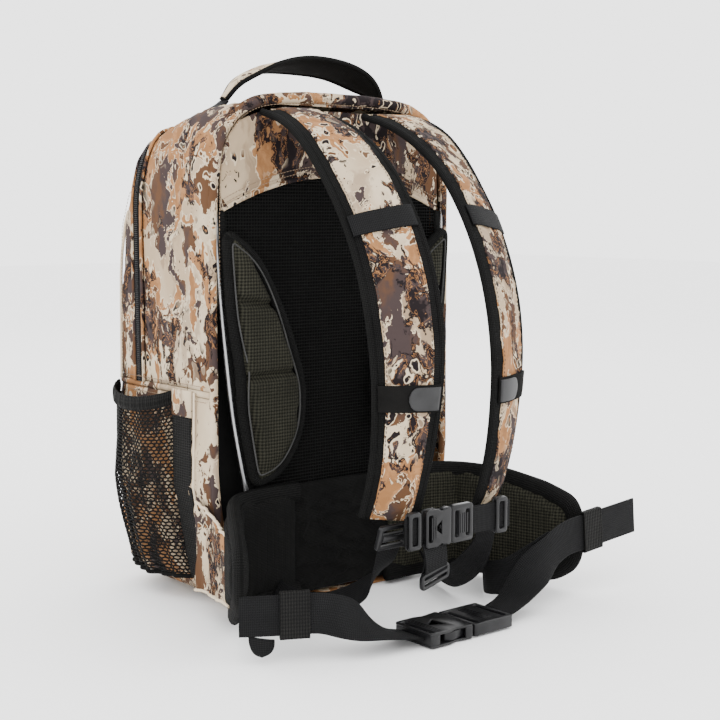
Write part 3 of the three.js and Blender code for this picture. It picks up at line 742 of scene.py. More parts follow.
def add_base_cloth():
    floor_z = 0.3
    rim = resample(both_sides(around_front(BASE_RIM - 0.6, 0.8, 0.0, 22)), 150)
    back = vec([(x, 0.8, floor_z + 20 * smooth((abs(x) - 98) / 26)) for x in np.linspace(122, -122, 50)])
    grid = radial_sheet((0, 90, 22), vec((0, 90, floor_z)), np.vstack([rim, back]), 26)
    grid[..., 2] = np.maximum(grid[..., 2], floor_z)
    closed_cloth("base_cloth", grid, "pack", ["base_panel"], 0.0, 0.0, 31.0)


def add_tray_door_cloth():
    across = np.linspace(-DOOR_HALF + 0.6, DOOR_HALF - 0.6, 60)
    grid = vec([[front_point(x, z) for x in across] for z in np.linspace(BASE_RIM + 0.6, SEAM_Z - 0.8, 50)])
    cloth_sheet("tray_door_cloth", grid, "tray_door", ["tray_door_panel"], 3.0, 0.7, 41.0)


def room_row(y, z, gap):
    """Points across the room from side to side, a gap short of its cloth."""
    edge = side_point(1, y, z)[0] - gap
    return [(x, y, z) for x in np.linspace(-edge, edge, 40)]


def add_inner_walls():
    """The lining behind the air gap, and the floor between the two rooms."""
    heights = [UPPER_Z if SEAM_Z - 1 < z < UPPER_Z else z for z in np.linspace(26, 452, 60)]
    wall = vec([room_row(23.5, z, 4.2) for z in heights])
    wall[..., 1] += crumple(wall, 50, seed=5.0) * 1.2
    half = vec((0, 1.3, 0))
    make("back_lining", Shape().slab(wall - half, wall + half), LINING, "pack", ["back_wall"])
    floor = vec([room_row(y, 209, 4.0) for y in np.linspace(27, 172, 30)])
    floor[..., 2] += crumple(floor, 60, seed=9.0) * 0.8
    half = vec((0, 0, 2.2))
    shelf = Shape().slab(floor + half, floor - half)
    make("shelf_lining", shelf, LINING, "pack", ["divider_panel"])
    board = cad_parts["base_board"].data
    board.materials.clear()
    board.materials.append(BOARD)


add_lower_sides()
add_seam_band()
add_upper_cloth()
add_lid_cloth()
add_base_cloth()
add_tray_door_cloth()
add_inner_walls()


# ---- padding ------------------------------------------------------------------------------------
FOAM_SWELL = 5.0


def padded_copy(name, node, voxel, shrink):
    """A remeshed copy of a CAD pad, a little slimmer, for the cloth simulation to fill out."""
    obj = new_object(name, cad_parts[node].data.copy())
    remesh = obj.modifiers.new("remesh", "REMESH")
    remesh.mode = "VOXEL"
    remesh.voxel_size = voxel / 1000
    settle(obj)
    for v, n in [(v, v.normal.copy()) for v in obj.data.vertices]:
        v.co -= n * shrink / 1000
    return obj


def fill_out(objects):
    """Blows the pads up together with cloth pressure, and keeps each point near its start."""
    starts = []
    for obj in objects:
        starts.append([v.co.copy() for v in obj.data.vertices])
        cloth_settings = obj.modifiers.new("cloth", "CLOTH").settings
        cloth_settings.use_pressure = True
        cloth_settings.uniform_pressure_force = 4.0
        cloth_settings.effector_weights.gravity = 0.0
        cloth_settings.tension_stiffness = 18
        cloth_settings.compression_stiffness = 18
    for step in range(1, 21):
        bpy.context.scene.frame_set(step)
    for obj, start in zip(objects, starts):
        settle(obj)
        for v, place in zip(obj.data.vertices, start):
            moved = v.co - place
            if moved.length > FOAM_SWELL / 1000:
                v.co = place + moved.normalized() * FOAM_SWELL / 1000
    bpy.context.scene.frame_set(1)
    for obj in objects:
        soften = obj.modifiers.new("soften", "SMOOTH")
        soften.iterations = 3
        fine = obj.modifiers.new("fine", "SUBSURF")
        fine.levels = fine.render_levels = 1
        settle(obj)


def finish_pad(obj, material, node, place, press=None):
    """Presses seams into a filled pad, gives it texture places, and puts it on the pack."""
    mesh = obj.data
    co = np.zeros(len(mesh.vertices) * 3)
    mesh.vertices.foreach_get("co", co)
    co = co.reshape(-1, 3) * 1000
    co[:, 1] -= BACK_PLANE_Y
    if press:
        co = press(co)
    set_uv(mesh, place(co))
    co[:, 1] += BACK_PLANE_Y
    mesh.vertices.foreach_set("co", (co / 1000).ravel())
    mesh.polygons.foreach_set("use_smooth", [True] * len(mesh.polygons))
    mesh.materials.clear()
    mesh.materials.append(material)
    mesh.update()
    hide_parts(node)
    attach(obj, "pack")


# ---- suspended back -----------------------------------------------------------------------------
WIRE_HALF = [[-0.5, 481], [60, 480], [98, 474], [121, 459], [134, 436], [139, 408], [139, 378],
             [133, 290], [121, 187], [108, 120], [99, 70], [90, 42], [70, 30], [35, 27], [-0.5, 27]]
MESH_SIDE = [[70, 34], [85, 46], [94, 72], [103, 120], [116, 187], [127.5, 290], [133, 376]]
MESH_LOW, MESH_CORNER = 34.0, 70  # height of the mesh's lower edge, and where its corners start
NET_PITCH, YARN_RADIUS = 3.15, 0.52
ROLL_HALF = [(60, 480.5), (98, 474), (121, 459), (134.5, 436), (139.5, 408), (141, 378), (141.8, 330),
             (142, 212), (141.5, 124), (135, 78), (124.5, 27)]
YOKE_TOP = [(0, 470.5), (60, 469.5), (92, 466.2), (112, 458), (125, 442), (131, 424), (132.6, 408)]
ARCH_LOW, ARCH_RISE, ARCH_HALF = 376.0, 33.0, 133.0


def arch_z(x):
    """Height of the curved seam between the mesh and the yoke."""
    return ARCH_LOW + ARCH_RISE * (1 - (np.abs(x) / ARCH_HALF) ** 2)


def both_halves(points):
    """A line over the top: up through the mirror images of some points, then down through the points."""
    return [(-x, z) for x, z in points[::-1]] + points


def add_wire():
    for side, s in SIDES:
        line = spline([(s * max(x, 0), 1.5, z) for x, z in WIRE_HALF], 150)
        shape = Shape().tube(line, 2.5, sides=14)
        make(f"frame_wire_{side}", shape, STEEL, "pack", ["frame_wire"])


def add_edge_roll():
    """The padded roll across the top, and its slimmer run down both back edges to the base."""
    line = spline([(x, 1.5, z) for x, z in both_halves(ROLL_HALF)], 420)
    radius = 3.9 + 1.5 * smooth((line[:, 2] - 360) / 60)
    lumps = vec([noise.fractal(Vector((k * 0.11, 0, 0)), 0.9, 2.0, 3) for k in range(len(line))])
    make("edge_roll", Shape().tube(line, radius * (1 + 0.11 * lumps), sides=14), CAMO, "pack", ["top_roll"])
    stitches = Shape()
    top = line[(line[:, 2] > 300)]
    out = unit(top - vec((0, 1.5, 330))) * vec((1, 0, 1))
    stitch_row(stitches, top - out * 5.6 + vec((0, -3.2, 0)), (0, -1, 0), pitch=3.6)
    make("roll_stitching", stitches, THREAD, "pack")


def mesh_depth(x, z):
    """The mesh hangs slack between its edges and touches the padding behind the lumbar."""
    across = 1 - (np.abs(x) / 135.0) ** 2
    up = np.clip((z - 34) / 360, 0, 1)
    return 1.2 + 4.5 * across * np.sin(np.pi * up)


def add_mesh_back():
    side = vec(MESH_SIDE)
    net = Shape()
    for x in np.arange(-130, 131, NET_PITCH):
        low = max(MESH_LOW, np.interp(abs(x), side[:, 0], side[:, 1])) if abs(x) > MESH_CORNER else MESH_LOW
        z = np.linspace(low, arch_z(x), max(3, int((arch_z(x) - low) / 12)))
        net.tube(np.stack([np.full_like(z, x), mesh_depth(x, z), z], axis=1), YARN_RADIUS, sides=4)
    for z in np.arange(36, 408, NET_PITCH):
        if z < ARCH_LOW:
            half = np.interp(z, side[:, 1], side[:, 0])
        else:
            half = ARCH_HALF * math.sqrt(1 - (z - ARCH_LOW) / ARCH_RISE)
        x = np.linspace(-half, half, max(3, int(2 * half / 11)))
        net.tube(np.stack([x, mesh_depth(x, z) - 0.3, np.full_like(x, z)], axis=1), YARN_RADIUS, sides=4)
    make("mesh_back_net", net, NET, "pack", ["mesh_back_panel"])

    edges = [spline([(s * x, 0.6, z) for x, z in MESH_SIDE], 90) for _, s in SIDES]
    edges.append(spline([(x, 0.6, MESH_LOW) for x in np.linspace(-MESH_CORNER, MESH_CORNER, 5)], 30))
    binding = Shape()
    for line in edges:
        binding.tube(line, 4.2, sides=10, flat=0.45, up=(0, 1, 0))
    make("mesh_back_binding", binding, BORDER, "pack")


def add_yoke():
    top = vec(YOKE_TOP)
    rows = []
    for x in np.linspace(-132.4, 132.4, 90):
        high = np.interp(abs(x), top[:, 0], top[:, 1])
        rows.append([(x, 0.6, z) for z in np.linspace(arch_z(x) + 0.8, high, 30)])
    grid = vec(rows)
    u, v = shares(90, 30)
    fade = smooth(np.minimum(from_edge(u) * 12, from_edge(v) * 6))
    lift = crumple(grid, 42, seed=3.0) * 2.6 + ridges(crumple(grid, 24, seed=8.0), -0.3) * 0.9
    grid[..., 1] += 0.6 - np.abs(lift) * fade
    make("yoke_cloth", Shape().slab(grid, grid + vec((0, 1.4, 0))), CAMO, "pack", ["top_yoke"])

    x = np.linspace(-131, 131, 120)
    line = np.stack([x, np.full_like(x, 0.2), arch_z(x) + 1.0], axis=1)
    make("yoke_hem", Shape().tube(line, 2.2, sides=8, flat=0.6, up=(0, 1, 0)), CAMO, "pack")
    stitches = Shape()
    for up in (5.0, 9.5):
        stitch_row(stitches, line + vec((0, -1.6, up)), (0, -1, 0), pitch=3.6)
    make("yoke_stitching", stitches, THREAD, "pack")


PAD_INSIDE = [[134, 360], [104, 338], [72, 285], [52, 235], [47, 200], [55, 160], [78, 130], [104, 121]]
PAD_OUTSIDE = [[104, 121], [119, 187], [131, 290], [134, 360]]
PAD_CREASES = ((291, 0.16), (226, -0.05))  # height at the middle of the back, and slope


def pad_outline(s, inset, count=110):
    inner = spline([(s * x, 0, z) for x, z in PAD_INSIDE], count)
    outer = resample(vec([(s * x, 0, z) for x, z in PAD_OUTSIDE]), count // 2)
    ring = np.vstack([inner, outer[1:-1]])
    centre = vec((s * 96, 0, 235))
    for _ in range(3):
        ring = (np.roll(ring, 1, axis=0) + ring * 2 + np.roll(ring, -1, axis=0)) / 4
    return ring + unit(centre - ring) * inset


def press_pad(co):
    front = co[:, 1] < -7
    for middle, slope in PAD_CREASES:
        away = (co[:, 2] - middle - slope * (np.abs(co[:, 0]) - 90)) / 3.6
        co[:, 1] += np.where(front, 6.0 * np.exp(-away**2), 0)
    swell = crumple(co, 35, seed=2.0) * 0.8
    co[:, 1] -= np.where(front, swell, 0)
    return co


def add_back_pads(pads):
    for side, s in SIDES:
        name = f"back_pad_{side}"
        finish_pad(pads[name], WAFFLE, name, lambda co: co[:, [2, 0]], press_pad)
        ring = pad_outline(s, 4.4)
        ring[:, 1] = -8.6
        border = Shape().tube(ring, 5.6, sides=14, closed=True, flat=0.82, up=(0, 1, 0))
        make(f"pad_border_{side}", border, BORDER, "pack")
        inner = pad_outline(s, 10.6)
        inner[:, 1] = -14.2
        seam = Shape().tube(inner, 0.9, sides=6, closed=True)
        make(f"pad_seam_{side}", seam, DARK_THREAD, "pack")


def add_lumbar():
    """The mesh that lines the hip belt across the small of the back, slack enough to crease."""
    rows, columns = 46, 80
    grid = vec([[(x, -2.5, z) for x in np.linspace(-98, 98, columns)] for z in np.linspace(9, 116, rows)])
    folds = ridges(crumple(grid, 30, (1.6, 1, 0.7), 4.0, 3), 0)
    u, v = shares(rows, columns)
    fade = smooth(from_edge(u) * 9) * smooth(from_edge(v) * 9)
    grid[..., 1] -= (3.2 * np.sin(np.pi * u) + folds * 2.6) * (0.3 + 0.7 * fade)
    make("lumbar_mesh", Shape().slab(grid, grid + vec((0, 1.5, 0))), BORDER, "pack")


# ---- hip wings ----------------------------------------------------------------------------------
WING_PLAN = {
    "left": [[-56, -10], [-105, -11], [-134, -21], [-156, -49], [-178, -85], [-200, -122]],
    "right": [[56, -10], [105, -11], [137, -27], [160, -70], [173, -112], [184, -152]],
}
GORE_PLAN = {
    "left": [[-148.8, 24], [-151, 5], [-158, -20], [-174.6, -66.7]],
    "right": [[148.8, 24], [150.5, 4], [157, -28], [169.5, -70]],
}
WING_TOP = {
    "left": [(-130, 84), (-120, 95), (-98, 104), (-60, 113), (20, 118)],
    "right": [(-158, 76), (-142, 94), (-115, 104), (-70, 113), (20, 118)],
}
WING_LOW = {
    "left": [(-130, 68), (-122, 55), (-102, 42), (-74, 26), (-40, 10), (20, 8)],
    "right": [(-160, 48), (-150, 28), (-125, 12), (-90, 8), (20, 8)],
}


def wing_heights(side, y):
    top, low = vec(WING_TOP[side]), vec(WING_LOW[side])
    return np.interp(y, top[:, 0], top[:, 1]), np.interp(y, low[:, 0], low[:, 1])


def wing_place(side):
    """Texture places on a wing: distance along its plan, and height."""
    plan = spline([(x, y, 0) for x, y in WING_PLAN[side]], 160)
    total = lengths(plan)

    def place(co):
        gap = np.linalg.norm(co[:, None, :2] - plan[None, :, :2], axis=2)
        return np.stack([total[gap.argmin(axis=1)], co[:, 2]], axis=1)
    return place


def add_wings(pads):
    count = 70
    zero = np.zeros(count)
    for side, _ in SIDES:
        name = f"hip_wing_{side}"
        # Painted shade: the left wing wears the black border mesh where the right wing wears the olive pad
        # mesh. Both wings are the same olive mesh; the left one's inner face only lies in shade.
        finish_pad(pads[name], BORDER if side == "left" else WAFFLE, name, wing_place(side))
        plan = spline([(x, y, 0) for x, y in WING_PLAN[side]], count)
        top, low = wing_heights(side, plan[:, 1])
        upper = plan + np.stack([zero, zero, top - 5.0], axis=1)
        lower = plan + np.stack([zero, zero, low + 5.0], axis=1)
        tip = plan[-1] - unit(plan[-1] - plan[-2]) * 4
        end = vec([(tip[0], tip[1], z) for z in np.linspace(top[-1] - 8, low[-1] + 8, 8)])
        line = resample(np.vstack([upper[:-3], end, lower[::-1][3:]]), 190)
        for _ in range(6):
            line[1:-1] = (line[:-2] + line[1:-1] * 2 + line[2:]) / 4
        border = Shape().tube(line, 6.3, sides=14, flat=1.5)
        make(f"wing_border_{side}", border, BORDER, "pack")


def add_wing_gores():
    for side, s in SIDES:
        rows = []
        for x, y, _ in spline([(x, y, 0) for x, y in GORE_PLAN[side]], 44):
            low, high = (np.interp(y, (-80, 40), ends) for ends in ((35, 23), (91, 111)))
            rows.append([(x, y, z) for z in np.linspace(low, high, 34)])
        grid = vec(rows)
        n = grid_normals(grid, (0, 60, 60))
        out = grid + n * (ridges(crumple(grid, 26, (1, 1, 1.8), 6.0 * s, 3)) * 2.0)[..., None]
        make(f"wing_gore_cloth_{side}", Shape().slab(out, out - n * 1.6), CAMO, "pack", [f"wing_gore_{side}"])
        trim = Shape()
        for edge in (out[:, 0], out[:, -1]):
            trim.tube(edge, 1.5, sides=8)
        make(f"wing_gore_piping_{side}", trim, PIPING, "pack")


def add_pads():
    names = [f"{kind}_{side}" for kind in ("back_pad", "hip_wing") for side, _ in SIDES]
    pads = {name: padded_copy(f"{name}_foam", name, 4.0, 1.0) for name in names}
    fill_out(list(pads.values()))
    add_back_pads(pads)
    add_wings(pads)


add_wire()
add_edge_roll()
add_mesh_back()
add_yoke()
add_lumbar()
add_pads()
add_wing_gores()


# ---- shoulder straps ----------------------------------------------------------------------------
STRAP_X = 60.0
STRAP_LINE = [[-8, 466], [-34, 459], [-60, 447], [-86, 428], [-111, 403], [-136, 368], [-155, 329],
              [-167, 288], [-172, 245], [-170, 205], [-164, 165], [-156, 135], [-147, 110]]
STRAP_TURN = 0.39
STRAP_HALF = 33.0
STRAP_CROWN = 4.2


class StrapPath:
    """A shoulder strap's middle line with its width direction and outward normal at each station."""

    def __init__(self, s, count=220):
        self.line = spline([(s * STRAP_X, y, z) for y, z in STRAP_LINE], count)
        self.t = np.linspace(0, 1, count)
        along = tangents(self.line)
        turn = STRAP_TURN * smooth(self.t / 0.3)
        wide = np.stack([np.cos(turn), s * np.sin(turn), np.zeros(count)], axis=1)
        self.wide = unit(wide - along * np.sum(wide * along, axis=1)[:, None])
        normal = np.cross(self.wide, along)
        self.out = -normal if normal[count // 2][1] > 0 else normal  # away from the wearer
        self.half = STRAP_HALF * (1 - 0.22 * smooth((self.t - 0.55) / 0.4))

    def surface(self, across, lift, span=(0.0, 1.0), count=None):
        """Rows of points on the strap: across is from -1 to 1 of its half width, lift its height."""
        t = np.linspace(*span, count or len(self.t))
        line, wide, out = (sample(t, self.t, a) for a in (self.line, self.wide, self.out))
        return sheet_on(line, unit(wide), unit(out), np.interp(t, self.t, self.half), across, lift)

    def patch(self, across, low, high, span, count):
        """A flat piece sewn on the pad's skin, between two heights over it."""
        skin = crown(vec(across), STRAP_CROWN)
        outer = self.surface(across, skin + high, span, count)
        return outer, self.surface(across, skin + low, span, count)


def crown(across, high):
    """Height of a pad's skin over its middle plane: full in the middle, falling to its bound edges."""
    return high * (1 - np.abs(across) ** 3.2) + 1.6 * (np.abs(across) < 0.99)


def sheet_on(line, wide, out, half, across, lift):
    """A grid on a line: across is from -1 to 1 of its half width, lift its height along out."""
    across = vec(across)
    lift = np.broadcast_to(lift, (len(line), len(across)))
    return (line[:, None] + wide[:, None] * (across[None, :] * half[:, None])[..., None]
            + out[:, None] * lift[..., None])


def strap_wrinkles(path, across, seed):
    """Small folds across the inside of the bend, where the foam is pushed together."""
    grid = path.surface(across, 0.0)
    soft = crumple(grid, 30, (1.8, 1, 0.8), seed, 3)
    return soft * 1.5 + ridges(crumple(grid, 17, (2.2, 1, 0.7), seed + 4, 2)) * 0.7


def add_strap(side, s):
    path = StrapPath(s)
    taper = smooth(from_edge(path.t) * 30)[:, None]
    fullness = 0.55 + 0.45 * taper

    def skin(across):
        """Height of the pad's outer skin with its wrinkles."""
        folds = strap_wrinkles(path, across, 2.0 + s) * (1 - np.abs(across) ** 4)[None, :] * taper
        return crown(across, STRAP_CROWN)[None, :] * fullness + folds

    across = np.linspace(-1, 1, 25)
    top = path.surface(across, skin(across))
    low = path.surface(across, -crown(across, 3.8)[None, :] * fullness)
    around = np.concatenate([across * STRAP_HALF, 2 * STRAP_HALF + across[::-1] * STRAP_HALF])
    body = Shape().loft(np.concatenate([top, low[:, ::-1]], axis=1), uv=table(lengths(path.line), around))
    pad = make(f"strap_pad_{side}", body, BORDER, "pack", [f"shoulder_strap_{side}"])

    inner = np.linspace(-0.70, 0.70, 19)
    face = skin(inner) + 0.9
    cover = Shape().slab(path.surface(inner, face), path.surface(inner, face - 1.3))
    make(f"strap_face_{side}", cover, CAMO, "pack")
    for edge_side in (-1, 1):
        edge = Shape().tube(path.surface([edge_side * 0.97], 0.2)[:, 0], 3.4, sides=12)
        place = "inner" if edge_side * s < 0 else "outer"
        make(f"strap_edge_{side}_{place}", edge, BORDER, "pack")
    stitches = Shape()
    for seam in (-0.665, 0.665):
        lift = face[:, abs(inner - seam).argmin()] + 0.3
        line = path.surface([seam], 0.0)[:, 0]
        stitch_row(stitches, line + unit(path.out) * lift[:, None], path.out, pitch=3.8)
    make(f"strap_stitching_{side}", stitches, DARK_THREAD, "pack")
    add_strap_patches(path, side, s)


def add_strap_patches(path, side, s):
    """The tape bar, the fuzzy loop patch and the fold tab that closes over it."""
    top, under = path.patch(np.linspace(-0.92, 0.92, 15), 1.6, 3.1, (0.365, 0.41), 12)
    rows, columns = top.shape[:2]
    uv = table(lengths(top[:, columns // 2]), lengths(top[rows // 2]))[..., ::-1]
    make(f"strap_bar_tape_{side}", Shape().slab(top, under, uv=uv), WEBBING, "pack",
         [f"strap_bar_{side}"])
    across = np.linspace(-0.93, 0.93, 17)
    span = (0.715, 0.768)
    fuzz = crumple(path.surface(across, 0.0, span, 16), 3.0, seed=1.0, octaves=2) * 0.5
    patch = Shape().slab(*path.patch(across, 1.6, 3.5 + fuzz, span, 16))
    make(f"loop_patch_tape_{side}", patch, LOOPS, "pack", [f"loop_patch_{side}"])
    add_fold_tab(path, side, s)


def add_fold_tab(path, side, s):
    """A smooth tab with a rounded end that closes over the loop patch from its inner edge."""
    share = np.linspace(0, 1, 14)
    narrow = np.sqrt(np.clip(1 - np.clip((share - 0.72) / 0.28, 0, 1) ** 2, 0.04, 1))[None, :, None]
    faces = path.patch(np.linspace(-s * 0.93, s * 0.05, 14), 3.6, 4.9, (0.719, 0.764), 12)
    top, under = (face.mean(axis=0) + (face - face.mean(axis=0)) * narrow for face in faces)
    make(f"fold_tab_{side}", Shape().slab(top, under), GREY_PLASTIC, f"tab_{side}", [f"strap_tab_{side}"])


# ---- webbing ------------------------------------------------------------------------------------
def ribbon(shape, line, wide, width, thick=1.7):
    """Flat tape along a line. wide gives its width direction at each point."""
    t = tangents(line)
    wide = unit(wide - t * np.sum(wide * t, axis=1)[:, None])
    normal = np.cross(wide, t)
    width = np.broadcast_to(vec(width), (len(line),))
    rim = [(-1, -0.3), (-0.985, 0.42), (-0.93, 0.5), (0, 0.5), (0.93, 0.5), (0.985, 0.42), (1, 0.3)]
    section = vec(rim + [(1, -0.3), (0.985, -0.42), (0.93, -0.5), (0, -0.5), (-0.93, -0.5), (-0.985, -0.42)])
    ring = (line[:, None] + wide[:, None] * (section[None, :, 0] * width[:, None] / 2)[..., None]
            + normal[:, None] * (section[:, 1] * thick)[None, :, None])
    return shape.loft(ring, uv=table(lengths(line), section[:, 0] * width[0] / 2))


def add_tape(name, line, wide, width, body, nodes=(), thick=1.7):
    return make(name, ribbon(Shape(), line, wide, width, thick), WEBBING, body, nodes)


def add_moulding(name, shape, body, nodes=()):
    make(name, shape, PLASTIC, body, nodes)


def steady(direction, count):
    """The same direction for each of a number of points."""
    return np.broadcast_to(vec(direction), (count, 3)).copy()


def belt_turn(count, flat_until, edge_from):
    """Width directions of the belt tape, which lies flat in the buckle and turns on edge."""
    t = np.linspace(0, 1, count)
    angle = np.pi / 2 * smooth((t - flat_until) / (edge_from - flat_until))
    return np.stack([np.zeros_like(t), np.cos(angle), np.sin(angle)], axis=1)


NARROW_TAPE, WIDE_TAPE = 25.0, 35.0
WEB_LINE = [[60, -149, 86], [61, -141, 66], [66, -118, 34], [76, -84, 12], [88, -50, 8], [94, -24, 14]]
BELT_LEFT = [[-50.6, -168, 8], [-72, -168, 14], [-105, -167, 29], [-140, -158.5, 42],
             [-165, -146.5, 43], [-190, -132, 43], [-203, -123.6, 43]]
BELT_RIGHT = [[50.6, -168, 8], [74, -168, 16], [108, -168, 42], [145, -168, 62],
              [180, -168, 66], [248, -168, 72]]
BELT_ANCHOR = [[138, -163, 56], [128, -161, 52], [118, -158, 46], [100, -140, 30], [98, -112, 22],
               [120, -84, 20], [146, -64, 30]]


def add_lower_webbing():
    t = np.linspace(0, 1, 60)
    turn = 1.05 * smooth(t / 0.35)
    for side, s in SIDES:
        line = spline([(s * x, y, z) for x, y, z in WEB_LINE], 60)
        line[:, 2] += 9 * smooth(t / 0.6)
        across = np.stack([np.cos(turn), np.zeros(60), -s * np.sin(turn)], axis=1)
        add_tape(f"strap_tape_{side}", line, across, NARROW_TAPE, "pack", [f"strap_webbing_{side}"])


def add_belt_webbing():
    line = spline(BELT_LEFT, 110)
    add_tape("belt_tape_left", line, belt_turn(110, 0.06, 0.6), WIDE_TAPE, "pack", ["belt_webbing_left"])

    along = unit(vec((0.88, -0.475, 0)))
    aside = vec((-along[1], along[0], 0))
    rows = []
    for v in np.linspace(0, 1, 26):
        half = 11.0 * math.sqrt(max(1 - v**2.4, 0.003))
        drop = vec((-186.5, -133, 26 - 18 * v))
        slant = vec((0, 0, -2.2 * (1 - v)))
        rows.append([drop + along * half * a + slant * (a + 1)
                     - aside * (2.2 * (1 - a * a) + 1.5 * math.sin(3.0 * v)) for a in np.linspace(-1, 1, 15)])
    tongue = vec(rows)
    make("belt_tail_left", Shape().slab(tongue, tongue + aside * 2.6), WEBBING, "pack")

    line = spline(BELT_RIGHT, 160)
    add_tape("belt_tape_right", line, belt_turn(160, 0.08, 0.45), WIDE_TAPE, "belt_right",
             ["belt_webbing_right"])
    anchor = add_tape("belt_anchor_right", spline(BELT_ANCHOR, 90), steady((0, 0.1, 1), 90), 33.0, None)
    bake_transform(anchor)


# ---- buckles ------------------------------------------------------------------------------------
BELT_Y = -169
KEEPER_HEIGHT = 41.0
STERNUM_Y, STERNUM_Z = -171.0, 101.0


def prism(name, outline, low, high):
    """An object with a flat outline in (u, v) between two heights."""
    bm = bmesh.new()
    bm.faces.new([bm.verts.new((u, v, low)) for u, v in outline])
    grown = bmesh.ops.extrude_face_region(bm, geom=list(bm.faces))["geom"]
    raised = [g for g in grown if isinstance(g, bmesh.types.BMVert)]
    bmesh.ops.translate(bm, verts=raised, vec=(0, 0, high - low))
    bmesh.ops.recalc_face_normals(bm, faces=bm.faces)
    mesh = bpy.data.meshes.new(name)
    bm.to_mesh(mesh)
    bm.free()
    return new_object(name, mesh)


def add_plate(shape, place, outline, low, high, holes=(), bevel=0.8):
    """Adds a moulded plate: an outline in (u, v) between two heights, with windows cut through it.
    place turns (u, v, height) into a point."""
    obj = prism("plate", outline, low, high)
    cutters = [prism("cutter", hole, low - 5, high + 5) for hole in holes]
    for cutter in cutters:
        modifier = obj.modifiers.new("cut", "BOOLEAN")
        modifier.operation = "DIFFERENCE"
        modifier.solver = "EXACT"
        modifier.object = cutter
    rounding = obj.modifiers.new("round", "BEVEL")
    rounding.width = bevel
    rounding.segments = 2
    rounding.limit_method = "ANGLE"
    rounding.angle_limit = math.radians(40)
    settle(obj)
    verts = [tuple(v.co) for v in obj.data.vertices]
    start = shape.add_points([place(*v) for v in verts], [v[:2] for v in verts])
    shape.faces.extend(tuple(start + i for i in p.vertices) for p in obj.data.polygons)
    for used in cutters + [obj]:
        bpy.data.objects.remove(used)


def rounded(u0, u1, v0, v1, r=2.0):
    """The outline of a rectangle with round corners."""
    corners = ((u1 - r, v1 - r), (u0 + r, v1 - r), (u0 + r, v0 + r), (u1 - r, v0 + r))
    points = []
    for turn, (u, v) in enumerate(corners):
        for step in range(4):
            a = math.radians(turn * 90 + step * 30)
            points.append((u + r * math.cos(a), v + r * math.sin(a)))
    return points


def female_parts(length, width, thick, place):
    """The receiving half: two skins on rails, a waist for the thumb, a bar for its tape."""
    shape = Shape()
    w = width / 2
    edge = [(0, -w + 2), (2, -w), (length * 0.45, -w), (length * 0.62, -w + 2.5), (length * 0.8, -w + 1),
            (length - 2, -w), (length, -w + 2)]
    waist = edge + [(u, -v) for u, v in edge[::-1]]
    slot = rounded(3, 8, -w + 5, w - 5, 1.5)
    wedge = [(length * 0.34, 0), (length * 0.62, -w * 0.38), (length * 0.62, w * 0.38)]
    add_plate(shape, place, waist, thick - 2.2, thick, [slot, wedge])
    add_plate(shape, place, waist, 0, 2.2, [slot])
    add_plate(shape, place, rounded(0.5, 11, -w + 0.5, w - 0.5), 1.6, thick - 1.6, [slot])
    for v0, v1 in ((-w + 0.4, -w + 3), (w - 3, w - 0.4)):
        add_plate(shape, place, rounded(length - 9, length - 0.5, v0, v1, 1.0), 1.6, thick - 1.6)
    for k in range(3):
        u = length * 0.2 + k * 2.4
        rib = rounded(u, u + 1.1, -w + 7, w - 7, 0.5)
        add_plate(shape, place, rib, thick - 0.3, thick + 0.5, bevel=0.2)
    return shape


def male_parts(length, width, thick, reach, place):
    """The inserted half: two sprung arms with thumb pads, a guide tongue and a slotted tape bar."""
    shape = Shape()
    w = width / 2
    slots = [rounded(4, 9, -w + 5, w - 5, 1.5), rounded(length - 9, length - 4, -w + 5, w - 5, 1.5)]
    add_plate(shape, place, rounded(0, length, -w, w, 3), 1.0, thick - 1.0, slots, bevel=1.2)
    low, high = 2.6, thick - 2.6
    arm = [(1, w - 9), (-reach * 0.55, w - 8), (-reach + 3, w - 6), (-reach, w - 7.5), (-reach + 0.5, w - 4),
           (-reach * 0.8, w - 1.2), (-reach * 0.62, w - 2.5), (-reach * 0.3, w - 5), (1, w - 4)]
    for outline in ([(u, -v) for u, v in arm[::-1]], arm):
        add_plate(shape, place, outline, low, high, bevel=0.7)
    add_plate(shape, place, rounded(-reach + 5, 1, -2.2, 2.2, 1.2), low, high)
    for k in range(4):
        u = length * 0.38 + k * 2.6
        rib = rounded(u, u + 1.2, -w + 8, w - 8, 0.5)
        add_plate(shape, place, rib, thick - 1.2, thick - 0.4, bevel=0.2)
    return shape


def add_belt_buckle():
    female = female_parts(50, 50, 13, lambda u, v, h: (u - 50, BELT_Y + v, h + 1))
    add_moulding("belt_buckle_socket", female, "pack", ["belt_buckle_female"])
    male = male_parts(48, 50, 13, 34, lambda u, v, h: (u + 2, BELT_Y + v, h + 1))
    add_moulding("belt_buckle_plug", male, "belt_right", ["belt_buckle_male"])


def power(value, exponent):
    """A power that keeps the sign of its base."""
    return np.sign(value) * abs(value) ** exponent


